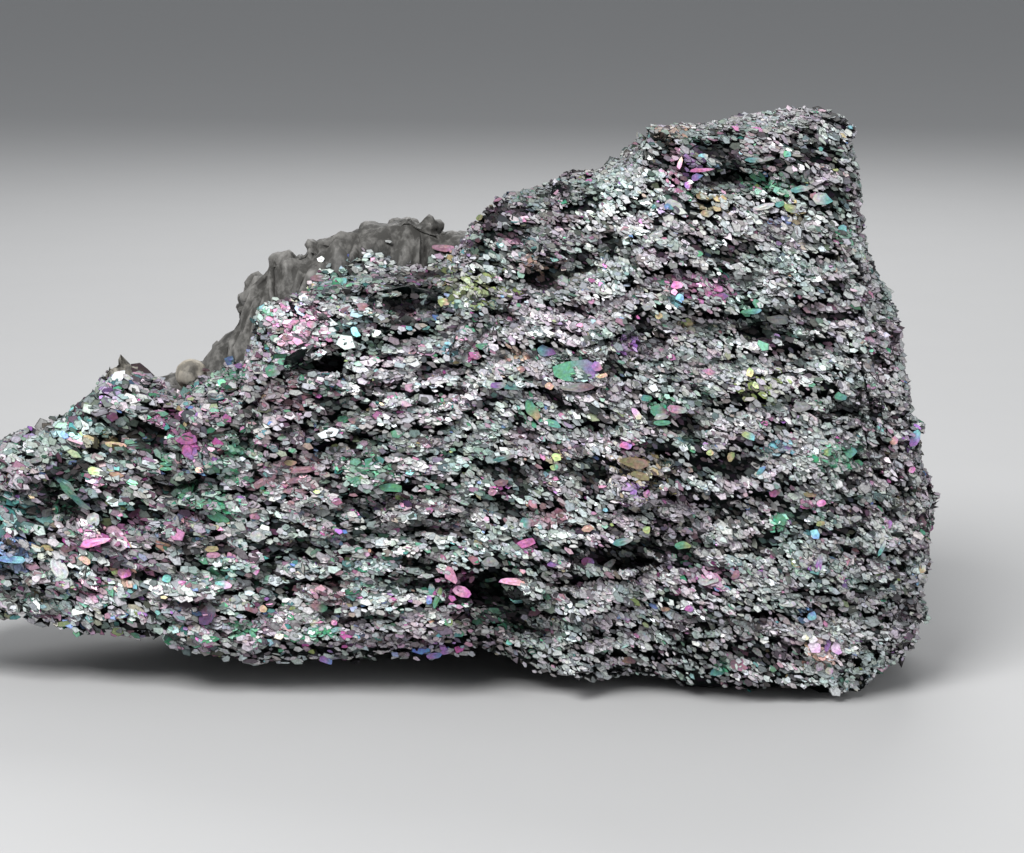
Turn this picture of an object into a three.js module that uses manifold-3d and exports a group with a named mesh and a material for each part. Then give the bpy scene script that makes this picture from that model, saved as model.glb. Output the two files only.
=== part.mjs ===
// A silicon carbide crystal specimen: one mass of thin plate crystals grown together in near-level layers.
// It is a wedge that stands on its cut base, low and narrow at one end and tall and blunt at the other.
// Millimetres. +X runs from the narrow end to the blunt end, +Y to the back and +Z up.
// The origin is the middle of the underside of the specimen's box.
import * as THREE from "three";
import { mergeVertices } from "three/addons/utils/BufferGeometryUtils.js";
import Module from "manifold-3d";

const wasm = await Module();
wasm.setup();

// Driving dimensions of the whole specimen.
const NARROW_END = -51.5;
const BLUNT_END = 51;
const CUT_REACH = 3 * BLUNT_END; // how far the block that cuts the base reaches past the specimen

// The front mass, as [x, value] pairs along the specimen: the line of its crest and of its lower edge,
// and how far its face stands forward and its hidden back reaches.
const FRONT_CREST = [
  [NARROW_END, 17.5], [-47, 21.4], [-41, 24.4], [-36, 26.7], [-32.5, 27.9], [-30.8, 29.8], [-28.6, 30.6],
  [-26, 30.4], [-24.2, 29.4], [-23, 28.6], [-21.6, 29], [-20.6, 30.6], [-17.5, 31.2], [-16, 32.2],
  [-15, 35.6], [-13.4, 37.8], [-8, 40], [-3, 41], [2, 41.4], [5.4, 42.4], [6.2, 47.4], [10, 48.8],
  [14, 50.2], [18.6, 51.2], [20.4, 52.8], [22, 55.2], [26, 55], [30.6, 55.4], [35.5, 56.3], [39.2, 56.4],
  [41.4, 56.4], [41.8, 56], [42.1, 52], [43.3, 43.2], [45.3, 40.2], [46.8, 36.2], [47.4, 31.6], [48, 28],
  [48.6, 25], [49.6, 22], [BLUNT_END, 17.5],
];
const FRONT_FOOT = [
  [NARROW_END, 9], [-46, 6.6], [-41.6, 6.2], [-34, 5.1], [-30, 4.3], [-25, 4.5], [-19.5, 3.4], [-16, 2.1],
  [-12, 2.5], [-8.5, 2.4], [-1, 3.1], [4, 2.7], [7.5, 3.9], [10.4, 1.9], [14, 0.1], [19, -0.1], [23, 0.8],
  [27.6, -0.7], [34, -0.5], [39, -1.2], [41, -2.4], [44.2, -2.2], [46.4, 0.6], [49, 2.4], [50.4, 4],
  [BLUNT_END, 8],
];
const FRONT_FACE = [
  [NARROW_END, -4], [-46, -8.5], [-36, -10.5], [-22, -12], [-6, -14], [10, -15], [26, -16.5], [38, -16],
  [45, -13.5], [49, -10], [BLUNT_END, -5],
];
const FRONT_BACK = [
  [NARROW_END, 3], [-46, 6], [-30, 8], [0, 10], [30, 11], [46, 10], [BLUNT_END, 5],
];

// The dull crust behind it, which shows past the front mass at the top left and at the blunt end.
const CRUST_CREST = [
  [-46, 17], [-36, 23], [-29, 27.6], [-26.4, 28.8], [-24, 28.4], [-21.4, 30.6], [-18.4, 35.6],
  [-16.8, 39.6], [-14, 40.2], [-10, 41.8], [-6.5, 44.6], [-2, 45], [1, 44.2], [5, 41.8], [9, 45.4],
  [15, 49.6], [20, 49.8], [25, 53], [32, 53.6], [39, 52], [44, 45.4], [47, 36.6], [49.2, 29],
  [BLUNT_END, 19],
];
const CRUST_FOOT = [
  [-46, 10], [-36, 6.5], [-27, 3], [-22, -1.4], [0, -1.6], [24, -1.6], [44, -1.5], [48, 3],
  [50, 7], [BLUNT_END, 14],
];
const CRUST_FACE = [
  [-46, 2], [-30, 1.5], [-6, 1], [30, -2], [46, -2], [BLUNT_END, 2],
];
const CRUST_BACK = [
  [-46, 7.5], [-36, 11.5], [-20, 14.5], [0, 16.5], [24, 17.6], [40, 16.6], [48, 13], [BLUNT_END, 8],
];

// How finely each mass is faceted: stations along it, and rows up its face and down its back.
const FRONT_NET = { stations: 53, faceRows: 30, backRows: 4 };
const CRUST_NET = { stations: 28, faceRows: 4, backRows: 18 };
const SECTION_POWER = 3.2; // 2 is an ellipse, and more is squarer
const SECTION_CROWDING = 0.3; // share of the rows' spacing that crowds towards the crest and the underside
const END_CROWDING = 0.5; // share of the stations' spacing that crowds towards the two ends

// The relief of the skin: broad lumps, small lumps, and ledges along every other row.
const LUMP_REACH = 1.4;
const LUMP_SPAN = 9;
const GRAIN_REACH = 0.8;
const GRAIN_SPAN = 2;
const END_LUMP_SHARE = 0.5; // share of the lumps' reach that is left on the two ends
const LEDGE_REACH = 1.3; // how far a ledge's lip stands out
const LEDGE_SPAN = 5.5; // how long a ledge runs before it fades
const LEDGE_DROOP = 0.55; // share of a row's height by which a lip hangs down over the recess under it
const WAVE_REACH = 0.9; // how far the ledges wander up and down
const WAVE_SPAN = 13;

// Hollows on the face, each [x, z, half width, half height, depth].
const HOLLOWS = [
  [7.6, 11.8, 4.8, 2.6, 4.6], [-27, 26.2, 4.4, 1.9, 3.4], [-8.4, 33.4, 3.8, 1.3, 2.6],
  [-0.4, 38.4, 3.8, 1.8, 2.8], [30, 50.4, 4.2, 1.3, 2.8], [33.4, 37.2, 4, 1.2, 2.4],
  [19.6, 15.2, 4.8, 1.2, 2.6], [11, 7.4, 4.4, 1.9, 2.8], [-35.8, 18.4, 3.4, 1.6, 2.6],
  [22.6, 35.4, 2.2, 1.5, 2.2], [40.4, 29.6, 3.6, 1, 2],
];

// Large plates that stand out from the face, each [x, z, length, width, turn in degrees].
const LARGE_PLATES = [
  [16, 33.2, 6.2, 3.4, 2], [16.6, 30.6, 5.4, 2.8, -4], [-4.8, 23.4, 5.2, 4.2, 14], [21, 23.6, 6, 4.4, -6],
  [-39.6, 14.6, 3.4, 3, 20], [-11.6, 36.6, 7, 5.4, 4], [10.6, 12, 5, 2.4, 6], [4.4, 11.2, 3.4, 2.4, -40],
  [40.6, 6.2, 4.6, 3.4, 8], [25.2, 31, 4.6, 3, 10], [-25, 23.4, 4.8, 2.8, 26], [37, 46.4, 4.4, 3, -30],
  [-31, 17, 5, 2.4, -36], [7.8, 45.8, 3.4, 2.6, 60], [39.4, 54.5, 3.8, 3.2, 4],
];
const PLATE_UNEVEN = 0.24; // how much a plate's corners differ in reach
const LARGE_PLATE = { thick: 0.9, rise: 24, out: 0.7 };

// The random plates, by count, by smallest and largest place and size, by how many degrees their
// flat side is tipped up from facing straight out, and by how far their middle stands out.
const LEDGES = {
  count: 14, x: [-46, 46], way: [0.14, 0.9], rise: 62, out: -0.5,
  length: [5, 9], width: [2.6, 3.8], thick: [0.8, 1.2],
};
const PLATES = {
  count: 27, x: [-48, 46], way: [0.16, 1.75], rise: 40, out: -0.1,
  length: [2.6, 4.4], width: [2, 3], thick: [0.6, 1],
};
const END_PLATES = {
  count: 10, x: [44.5, 50], way: [0.25, 1.2], rise: 55, out: -0.2,
  length: [3, 5.4], width: [2.4, 3.4], thick: [0.8, 1.2],
};

// Lumps along the crust's crest, sunk by a share of their radius, and a dull rounded knob and a sharp
// crystal on the low crest.
const CRUST_LUMPS = { count: 16, from: -24, to: 18, radius: [1.7, 2.9], sunk: 0.75 };
const LOW_KNOB = { x: -22.3, y: -0.6, z: 30.1, radius: 1.65 };
const TAIL_SPIKE = { x: -28.3, y: 0.4, z: 29.5, radius: 4.2, height: 4.6, thin: 0.5, lean: -0.5, sides: 5 };

const STONE_COLOUR = new THREE.Color(0.3, 0.31, 0.31);

// A repeatable random number from 0 to 1 for a whole number.
function chance(n) {
  const s = Math.sin(n * 127.1 + 311.7) * 43758.5453;
  return s - Math.floor(s);
}

function between([low, high], share) {
  return THREE.MathUtils.lerp(low, high, share);
}

// The value at x of a line drawn through [x, value] pairs.
function along(line, x) {
  const last = line.length - 1;
  let i = line.findIndex(([at]) => at > x);
  if (i < 0) i = last;
  i = Math.max(i, 1);
  const [x0, v0] = line[i - 1];
  const [x1, v1] = line[i];
  return THREE.MathUtils.lerp(v0, v1, THREE.MathUtils.clamp((x - x0) / (x1 - x0), 0, 1));
}

// Smooth noise from -1 to 1 at a point, from random values on a lattice.
function noise(point, span, seed) {
  const scaled = point.clone().divideScalar(span);
  const cell = scaled.clone().floor();
  const part = scaled.sub(cell);
  const ease = part.toArray().map((t) => t * t * (3 - 2 * t));
  let sum = 0;
  for (let corner = 0; corner < 8; corner++) {
    const step = [corner & 1, (corner >> 1) & 1, corner >> 2];
    const share = step.reduce((product, s, axis) => product * (s ? ease[axis] : 1 - ease[axis]), 1);
    const [i, j, k] = cell.toArray().map((c, axis) => c + step[axis]);
    sum += share * chance(i * 17 + j * 59 + k * 113 + seed);
  }
  return 2 * sum - 1;
}

// A geometry's triangles as a manifold-3d solid.
function solidOf(geometry) {
  const bare = geometry.clone();
  bare.deleteAttribute("normal");
  bare.deleteAttribute("uv");
  const merged = mergeVertices(bare, 1e-4);
  const mesh = new wasm.Mesh({
    numProp: 3,
    vertProperties: merged.attributes.position.array,
    triVerts: new Uint32Array(merged.index.array),
  });
  return new wasm.Manifold(mesh);
}

function geometryOf(solid) {
  const mesh = solid.getMesh();
  const geometry = new THREE.BufferGeometry();
  geometry.setAttribute("position", new THREE.BufferAttribute(mesh.vertProperties, 3));
  geometry.setIndex(new THREE.BufferAttribute(mesh.triVerts, 1));
  geometry.computeVertexNormals();
  return geometry;
}

// Where a mass's skin lies at x. The way round its section is 0 at the underside, 1 at the crest by
// way of the face, and 2 at the underside again by way of the back.
function skinPoint(lines, x, way, swell = 1) {
  const [crest, foot, face, back] = lines.map((line) => along(line, x));
  const climb = way <= 1 ? way : 2 - way;
  const rise = THREE.MathUtils.lerp(2 * climb - 1, -Math.cos(Math.PI * climb), SECTION_CROWDING);
  const depth = (1 - Math.min(1, Math.abs(rise)) ** SECTION_POWER) ** (1 / SECTION_POWER);
  return new THREE.Vector3(
    x,
    (face + back) / 2 + (swell * (way <= 1 ? -depth : depth) * (back - face)) / 2,
    (crest + foot) / 2 + (swell * rise * (crest - foot)) / 2,
  );
}

// The outward direction of a mass's skin, from two small steps along it.
function skinOutward(lines, x, way) {
  const stepX = 0.8;
  const stepWay = 0.03;
  const alongX = skinPoint(lines, x + stepX, way).sub(skinPoint(lines, x - stepX, way));
  const upSkin = skinPoint(lines, x, way + stepWay).sub(skinPoint(lines, x, way - stepWay));
  return alongX.cross(upSkin).normalize();
}

// The relief at a point of the skin: broad and small lumps, a ledge's lip on every other row with a
// recess under it, and a slow wave up and down.
function relief(point, row, seed) {
  const spot = new THREE.Vector3(point.x, 5.3 * row, 0);
  const strength = THREE.MathUtils.clamp(0.45 + 1.6 * noise(spot, LEDGE_SPAN, seed + 19), 0, 1.3);
  const onLip = row % 2 === 1;
  return {
    lumps: LUMP_REACH * noise(point, LUMP_SPAN, seed) + GRAIN_REACH * noise(point, GRAIN_SPAN, seed + 7),
    ledge: { out: LEDGE_REACH * strength * (onLip ? 1 : -0.6), droop: onLip ? LEDGE_DROOP * strength : 0 },
    wave: WAVE_REACH * noise(point, WAVE_SPAN, seed + 31),
  };
}

// A mass as a closed net of stations along x and rows around each section.
function massGeometry(lines, net, seed) {
  const around = net.faceRows + net.backRows;
  const start = lines[0][0][0];
  const end = lines[0][lines[0].length - 1][0];
  const geometry = new THREE.SphereGeometry(1, around, net.stations);
  const position = geometry.attributes.position;
  for (let i = 0; i < position.count; i++) {
    const station = Math.floor(i / (around + 1));
    const row = (i % (around + 1)) % around;
    const even = station / net.stations;
    const crowded = (1 - Math.cos(Math.PI * even)) / 2;
    const x = THREE.MathUtils.lerp(start, end, THREE.MathUtils.lerp(even, crowded, END_CROWDING));
    const way = row <= net.faceRows ? row / net.faceRows : 1 + (row - net.faceRows) / net.backRows;
    const atPole = station === 0 || station === net.stations;
    const point = skinPoint(lines, x, way, atPole ? 0 : 1);
    if (!atPole) {
      const [crest, foot] = lines.map((line) => along(line, x));
      const rowHeight = (crest - foot) / (way <= 1 ? net.faceRows : net.backRows);
      const outward = skinOutward(lines, x, way);
      const { lumps, ledge, wave } = relief(point, row, seed);
      const steep = 1 - Math.abs(outward.z) ** 3;
      const roomy = THREE.MathUtils.clamp((rowHeight - 0.2) / 0.5, 0, 1);
      const endOn = outward.x ** 2;
      const onFlank = roomy * steep * (1 - endOn);
      const lumpy = THREE.MathUtils.lerp(0.3, 1, steep) * THREE.MathUtils.lerp(1, END_LUMP_SHARE, endOn);
      point.addScaledVector(outward, lumps * lumpy + ledge.out * onFlank);
      point.z += steep * wave - onFlank * ledge.droop * rowHeight;
    }
    position.setXYZ(i, point.x, point.y, point.z);
  }
  return geometry;
}

// A flat six-sided plate with slightly uneven corners, centred on its own origin and level.
function plateGeometry(length, width, thick, seed) {
  const plate = new THREE.CylinderGeometry(0.5, 0.46, 1, 6, 1).rotateX(Math.PI / 2).rotateZ(Math.PI / 6);
  plate.scale(length, width, thick);
  const position = plate.attributes.position;
  for (let i = 0; i < position.count; i++) {
    const angle = Math.atan2(position.getY(i) / width, position.getX(i) / length);
    const corner = (Math.round((angle * 3) / Math.PI) + 6) % 6;
    const uneven = 1 + PLATE_UNEVEN * (chance(seed + corner * 31) - 0.5);
    position.setX(i, position.getX(i) * uneven);
    position.setY(i, position.getY(i) * uneven);
  }
  return plate;
}

// A plate set at a place. It faces part way between straight up and outward, with its long side level.
function placedPlate(place, outward, size, seed) {
  const level = new THREE.Vector3(0, 0, 1).cross(outward).normalize();
  const rise = THREE.MathUtils.degToRad(size.rise);
  const normal = outward
    .clone()
    .projectOnPlane(new THREE.Vector3(0, 0, 1))
    .normalize()
    .multiplyScalar(Math.cos(rise))
    .add(new THREE.Vector3(0, 0, Math.sin(rise)));
  normal.addScaledVector(level, 0.3 * (chance(seed + 3) - 0.5)).normalize();
  const side = level.projectOnPlane(normal).normalize();
  side.applyAxisAngle(normal, size.turn);
  const across = normal.clone().cross(side);
  const geometry = plateGeometry(size.length, size.width, size.thick, seed);
  geometry.applyMatrix4(new THREE.Matrix4().makeBasis(side, across, normal));
  const middle = place.clone().addScaledVector(outward, size.out);
  return geometry.translate(middle.x, middle.y, middle.z);
}

// Random plates of one kind, spread over a mass, from low on its face over the crest to behind it.
function scatteredPlates(lines, kind, seed) {
  const plates = [];
  for (let i = 0; i < kind.count; i++) {
    const own = seed + i * 19;
    const x = between(kind.x, (i + chance(own)) / kind.count);
    const way = between(kind.way, (i * 0.618034 + 0.15 * chance(own + 1)) % 1);
    const size = {
      length: between(kind.length, chance(own + 2)),
      width: between(kind.width, chance(own + 4)),
      thick: between(kind.thick, chance(own + 5)),
      rise: kind.rise + 22 * (chance(own + 6) - 0.5),
      turn: 0.5 * (chance(own + 7) - 0.5),
      out: kind.out,
    };
    plates.push(placedPlate(skinPoint(lines, x, way), skinOutward(lines, x, way), size, own));
  }
  return plates;
}

// The way round at which a mass's face reaches a height, found by halving.
function wayAtHeight(lines, x, z) {
  let low = 0;
  let high = 1;
  for (let step = 0; step < 24; step++) {
    const middle = (low + high) / 2;
    if (skinPoint(lines, x, middle).z < z) low = middle;
    else high = middle;
  }
  return (low + high) / 2;
}

function largePlates(lines) {
  return LARGE_PLATES.map(([x, z, length, width, turn], i) => {
    const size = { ...LARGE_PLATE, length, width, turn: THREE.MathUtils.degToRad(turn) };
    const way = wayAtHeight(lines, x, z);
    return placedPlate(skinPoint(lines, x, way), skinOutward(lines, x, way), size, 900 + i);
  });
}

// A hollow is an uneven twenty-sided lump, half sunk into the face.
function hollows(lines) {
  return HOLLOWS.map(([x, z, halfWidth, halfHeight, depth], i) => {
    const at = skinPoint(lines, x, wayAtHeight(lines, x, z));
    const lump = new THREE.IcosahedronGeometry(1, 0);
    lump.scale(halfWidth, depth, halfHeight).rotateY(0.3 * (chance(i + 40) - 0.5));
    return lump.translate(at.x, at.y, at.z);
  });
}

// Rounded lumps along the crest of the crust, most of each sunk into it, and one sharp crystal.
function crustLumps(lines) {
  const lumps = [];
  for (let i = 0; i < CRUST_LUMPS.count; i++) {
    const x = between([CRUST_LUMPS.from, CRUST_LUMPS.to], (i + 0.5 * chance(i + 70)) / CRUST_LUMPS.count);
    const radius = between(CRUST_LUMPS.radius, chance(i + 90));
    const at = skinPoint(lines, x, 1 + 0.06 * chance(i + 80));
    const lump = new THREE.IcosahedronGeometry(radius, 0).rotateX(i).rotateZ(2 * i);
    lumps.push(lump.translate(at.x, at.y, at.z - CRUST_LUMPS.sunk * radius));
  }
  const spike = new THREE.ConeGeometry(TAIL_SPIKE.radius, TAIL_SPIKE.height, TAIL_SPIKE.sides);
  spike.scale(1, 1, TAIL_SPIKE.thin).rotateX(Math.PI / 2);
  spike.applyMatrix4(new THREE.Matrix4().makeShear(0, 0, 0, 0, TAIL_SPIKE.lean, 0));
  lumps.push(spike.translate(TAIL_SPIKE.x, TAIL_SPIKE.y, TAIL_SPIKE.z));
  const knob = new THREE.IcosahedronGeometry(LOW_KNOB.radius, 1);
  lumps.push(knob.translate(LOW_KNOB.x, LOW_KNOB.y, LOW_KNOB.z));
  return lumps;
}

function joined(start, geometries) {
  return geometries.reduce((sum, geometry) => sum.add(solidOf(geometry)), start);
}

// Everything under the base is cut away, which leaves the flat faces that the specimen stands on.
function cutAtBase(solid) {
  const below = new THREE.BoxGeometry(CUT_REACH, CUT_REACH, CUT_REACH).translate(0, 0, -CUT_REACH / 2);
  return solid.subtract(solidOf(below));
}

// The largest body of a solid, because a cut can leave crumbs.
function largestBody(solid) {
  const bodies = solid.decompose();
  return bodies.reduce((best, body) => (body.volume() > best.volume() ? body : best));
}

function crystalMass() {
  const front = [FRONT_CREST, FRONT_FOOT, FRONT_FACE, FRONT_BACK];
  const crust = [CRUST_CREST, CRUST_FOOT, CRUST_FACE, CRUST_BACK];
  let solid = solidOf(massGeometry(front, FRONT_NET, 3));
  solid = hollows(front).reduce((rest, geometry) => rest.subtract(solidOf(geometry)), solid);
  solid = solid.add(solidOf(massGeometry(crust, CRUST_NET, 11)));
  solid = joined(solid, scatteredPlates(front, LEDGES, 100));
  solid = joined(solid, scatteredPlates(front, PLATES, 5000));
  solid = joined(solid, scatteredPlates(front, END_PLATES, 8000));
  solid = joined(solid, largePlates(front));
  solid = joined(solid, crustLumps(crust));
  solid = largestBody(cutAtBase(solid));
  const geometry = geometryOf(solid);
  geometry.computeBoundingBox();
  const middle = geometry.boundingBox.getCenter(new THREE.Vector3());
  geometry.translate(-middle.x, -middle.y, 0);
  const material = new THREE.MeshStandardMaterial({ color: STONE_COLOUR, roughness: 0.35, metalness: 0.6 });
  const mesh = new THREE.Mesh(geometry, material);
  mesh.name = "crystal_mass";
  return mesh;
}

const specimen = new THREE.Group();
specimen.name = "silicon_carbide_specimen";
specimen.add(crystalMass());

export default specimen;
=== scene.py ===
"""Looks of a silicon carbide crystal specimen: its dark layered body, its dull crust, and the thin
bright plates that cover it. Metres, with +X to the blunt end, +Y to the back and +Z up."""

import math
from collections import namedtuple
from functools import lru_cache

import bpy
import numpy as np
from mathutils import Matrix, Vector
from mathutils.bvhtree import BVHTree


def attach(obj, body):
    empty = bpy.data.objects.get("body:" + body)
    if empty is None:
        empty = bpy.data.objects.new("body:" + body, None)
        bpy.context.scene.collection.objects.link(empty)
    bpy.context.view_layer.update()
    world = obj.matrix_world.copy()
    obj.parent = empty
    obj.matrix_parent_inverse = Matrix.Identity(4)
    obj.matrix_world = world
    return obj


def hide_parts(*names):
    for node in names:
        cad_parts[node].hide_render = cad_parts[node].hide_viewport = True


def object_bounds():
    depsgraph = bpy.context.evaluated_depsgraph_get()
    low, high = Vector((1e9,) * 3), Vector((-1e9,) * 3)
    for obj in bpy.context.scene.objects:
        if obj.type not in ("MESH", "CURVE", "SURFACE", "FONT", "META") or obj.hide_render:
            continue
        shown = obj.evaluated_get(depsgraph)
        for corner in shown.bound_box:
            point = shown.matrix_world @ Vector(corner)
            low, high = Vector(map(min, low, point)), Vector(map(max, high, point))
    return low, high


bl_info = {
    "name": "Silicon carbide crystal specimen",
    "version": (1, 0, 0),
    "blender": (4, 5, 0),
    "location": "3D View > Sidebar > Specimen",
    "description": "Builds the body, the plates and the stage of a crystal specimen",
    "category": "Add Mesh",
}

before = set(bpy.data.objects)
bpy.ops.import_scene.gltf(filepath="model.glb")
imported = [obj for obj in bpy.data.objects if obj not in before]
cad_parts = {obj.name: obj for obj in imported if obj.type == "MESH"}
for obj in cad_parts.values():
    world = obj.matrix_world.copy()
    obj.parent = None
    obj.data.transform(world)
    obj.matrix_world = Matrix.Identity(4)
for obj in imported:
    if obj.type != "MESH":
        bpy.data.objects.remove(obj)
CAD_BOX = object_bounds()

NODE = "crystal_mass"
BODY = "root"
MM = 0.001
BAKE_MAP = "OFBake"
LOWEST = 0.02  # height of the lowest plate corners over the floor, in millimetres
# painted shade: a plate's root is darkened, so that its sides run dark
ROOT_SHADE = 0.08  # brightness of a plate's root beside its top
PALEST, DARKEST = 0.75, 0.008  # of the bare plates
COLOUR_RANGE = (0.004, 0.97)
CUTS, ROUNDINGS = 2, 2  # how often the solid's triangles are cut in four, and then rounded off
CELL_PRIMES, SEED_PRIME, MIX_PRIME = (374761393, 668265263, 1610612741), 974634777, 1274126177
MOST_PLATES = 24500  # in one piece, so that it stays under 200,000 triangles
MAP_CELLS = 157  # along each side of a piece's bake map, one cell for each plate

# The front view: its size in steps, its lens and sensor, and how far the camera is from the point that it
# looks at, in millimetres. A step covers STEP there. Places on the face that were noted are given in
# steps across and down this view.
VIEW_STEPS = (1024, 853)
VIEW_LENS, VIEW_SENSOR = 85, 36
VIEW_DISTANCE = 242
VIEW_AIM = (9.6, 0, 24.6)
SLOPE = math.radians(12)  # of the view, down to the specimen
STEP = 0.1

# Colours of the thin tarnish on the plates, by name.
TARNISH = {
    "green": (0.075, 0.41, 0.22),
    "teal": (0.08, 0.38, 0.36),
    "lime": (0.36, 0.46, 0.14),
    "gold": (0.55, 0.43, 0.2),
    "peach": (0.78, 0.46, 0.34),
    "rose": (0.45, 0.21, 0.27),
    "pink": (0.72, 0.30, 0.50),
    "magenta": (0.62, 0.12, 0.42),
    "violet": (0.44, 0.18, 0.62),
    "blue": (0.14, 0.30, 0.66),
    "cyan": (0.22, 0.60, 0.70),
}
GAP_SPECKS = (0.014, 0.006, 0.015)  # in the gaps between plates
BARE = np.array((0.497, 0.51, 0.512))

# Where one colour of tarnish gathers on the face: [colour, x, z, half width, half height], in millimetres.
# Some have (steps across, steps down) the front view in place of x and z.
TARNISH_SPOTS = [
    ("gold", (108, 440), 2.4, 0.7), ("violet", (107, 396), 1.2, 0.6), ("magenta", (190, 445), 1.8, 1.5),
    ("green", (168, 459), 1, 0.8), ("green", -18.9, 31.9, 2.6, 1.3), ("green", (221, 491), 1.9, 3),
    ("teal", -38.2, 18.6, 2.2, 1.8), ("blue", -39, 14, 2.2, 2), ("pink", (100, 540), 2.1, 0.8),
    ("pink", (126, 571), 1.3, 0.9), ("pink", (300, 325), 2.8, 1.8), ("green", (287, 365), 1.5, 0.7),
    ("cyan", (355, 330), 0.8, 0.6), ("cyan", (447, 345), 0.8, 0.6), ("magenta", (474, 356), 0.9, 0.6),
    ("lime", 5.9, 40.6, 3.2, 1.5), ("pink", (510, 240), 1, 0.7), ("peach", (665, 130), 1.6, 0.7),
    ("pink", (676, 168), 1.4, 1.8), ("violet", (692, 165), 1, 1.4), ("gold", (708, 205), 1.4, 1),
    ("violet", (665, 208), 0.8, 0.6), ("green", (772, 182), 2.7, 1.2), ("gold", (792, 210), 0.9, 0.7),
    ("blue", (780, 220), 1, 0.6), ("green", (845, 236), 0.8, 0.7), ("magenta", (702, 290), 3, 1.2),
    ("cyan", (678, 300), 0.8, 0.6), ("gold", (688, 322), 0.8, 0.6), ("green", (750, 310), 1, 0.8),
    ("rose", -11, 22.9, 2.8, 2), ("green", 23.8, 30.6, 1.6, 1), ("pink", 24.6, 29, 1.4, 0.7),
    ("magenta", (632, 445), 1, 0.7), ("gold", 21.8, 24.2, 2.4, 2), ("violet", (635, 490), 0.9, 0.6),
    ("gold", (555, 458), 0.8, 0.8), ("magenta", 4.3, 12, 1.7, 1.9), ("magenta", (527, 546), 1, 0.7),
    ("green", 8.7, 9.3, 2.2, 2.2), ("green", (435, 600), 0.8, 0.7), ("violet", (325, 650), 1, 0.6),
    ("violet", (440, 648.5), 1.6, 0.9), ("peach", (320, 606.5), 0.8, 0.5), ("green", (840, 457), 2.2, 1.4),
    ("cyan", (777, 447), 1.3, 0.8), ("green", (779, 520), 1, 0.7), ("cyan", (815, 530), 0.8, 0.6),
    ("pink", (812, 500), 0.9, 0.7), ("magenta", (717, 575), 2, 1.5), ("blue", (807, 615), 1, 0.7),
    ("peach", (820, 652), 1.7, 1.5), ("pink", (742, 650), 1, 0.6), ("green", (722, 664), 1, 0.7),
    ("violet", (911, 438), 0.8, 1), ("green", (65, 495), 2.1, 1.6), ("green", -4, 23.3, 2.8, 2),
    ("violet", (628, 345), 1.1, 0.8), ("rose", -11.5, 30.5, 2.4, 1.6), ("rose", -7.7, 11.5, 2.2, 1.8),
    ("green", -16.8, 25.8, 2.4, 1.5), ("peach", 12.3, 42.6, 1.8, 1.2), ("lime", 32.6, 31.8, 2, 1.3),
    ("magenta", 8.4, 21.8, 1.1, 0.9), ("rose", 13.3, 19.9, 1.9, 1.3), ("blue", 1.6, 4.4, 2, 1),
    ("magenta", -30.5, 15.8, 2.6, 1.2), ("peach", -28, 12.6, 1.5, 1.1), ("magenta", -26.2, 17.8, 1.2, 1),
    ("green", -18.2, 12.4, 1.6, 1.2), ("green", -16.2, 7.2, 1.6, 1), ("green", -9, 6.9, 1.4, 0.8),
    ("green", 11.3, 28.8, 1.3, 1.1), ("green", 26, 15.2, 1.2, 0.9), ("peach", 9.9, 35, 1.2, 0.8),
    ("green", -20.6, 20.4, 1.6, 1.6), ("magenta", -23.4, 27.4, 1.6, 0.9), ("pink", -31, 10.6, 1.6, 1),
]
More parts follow.
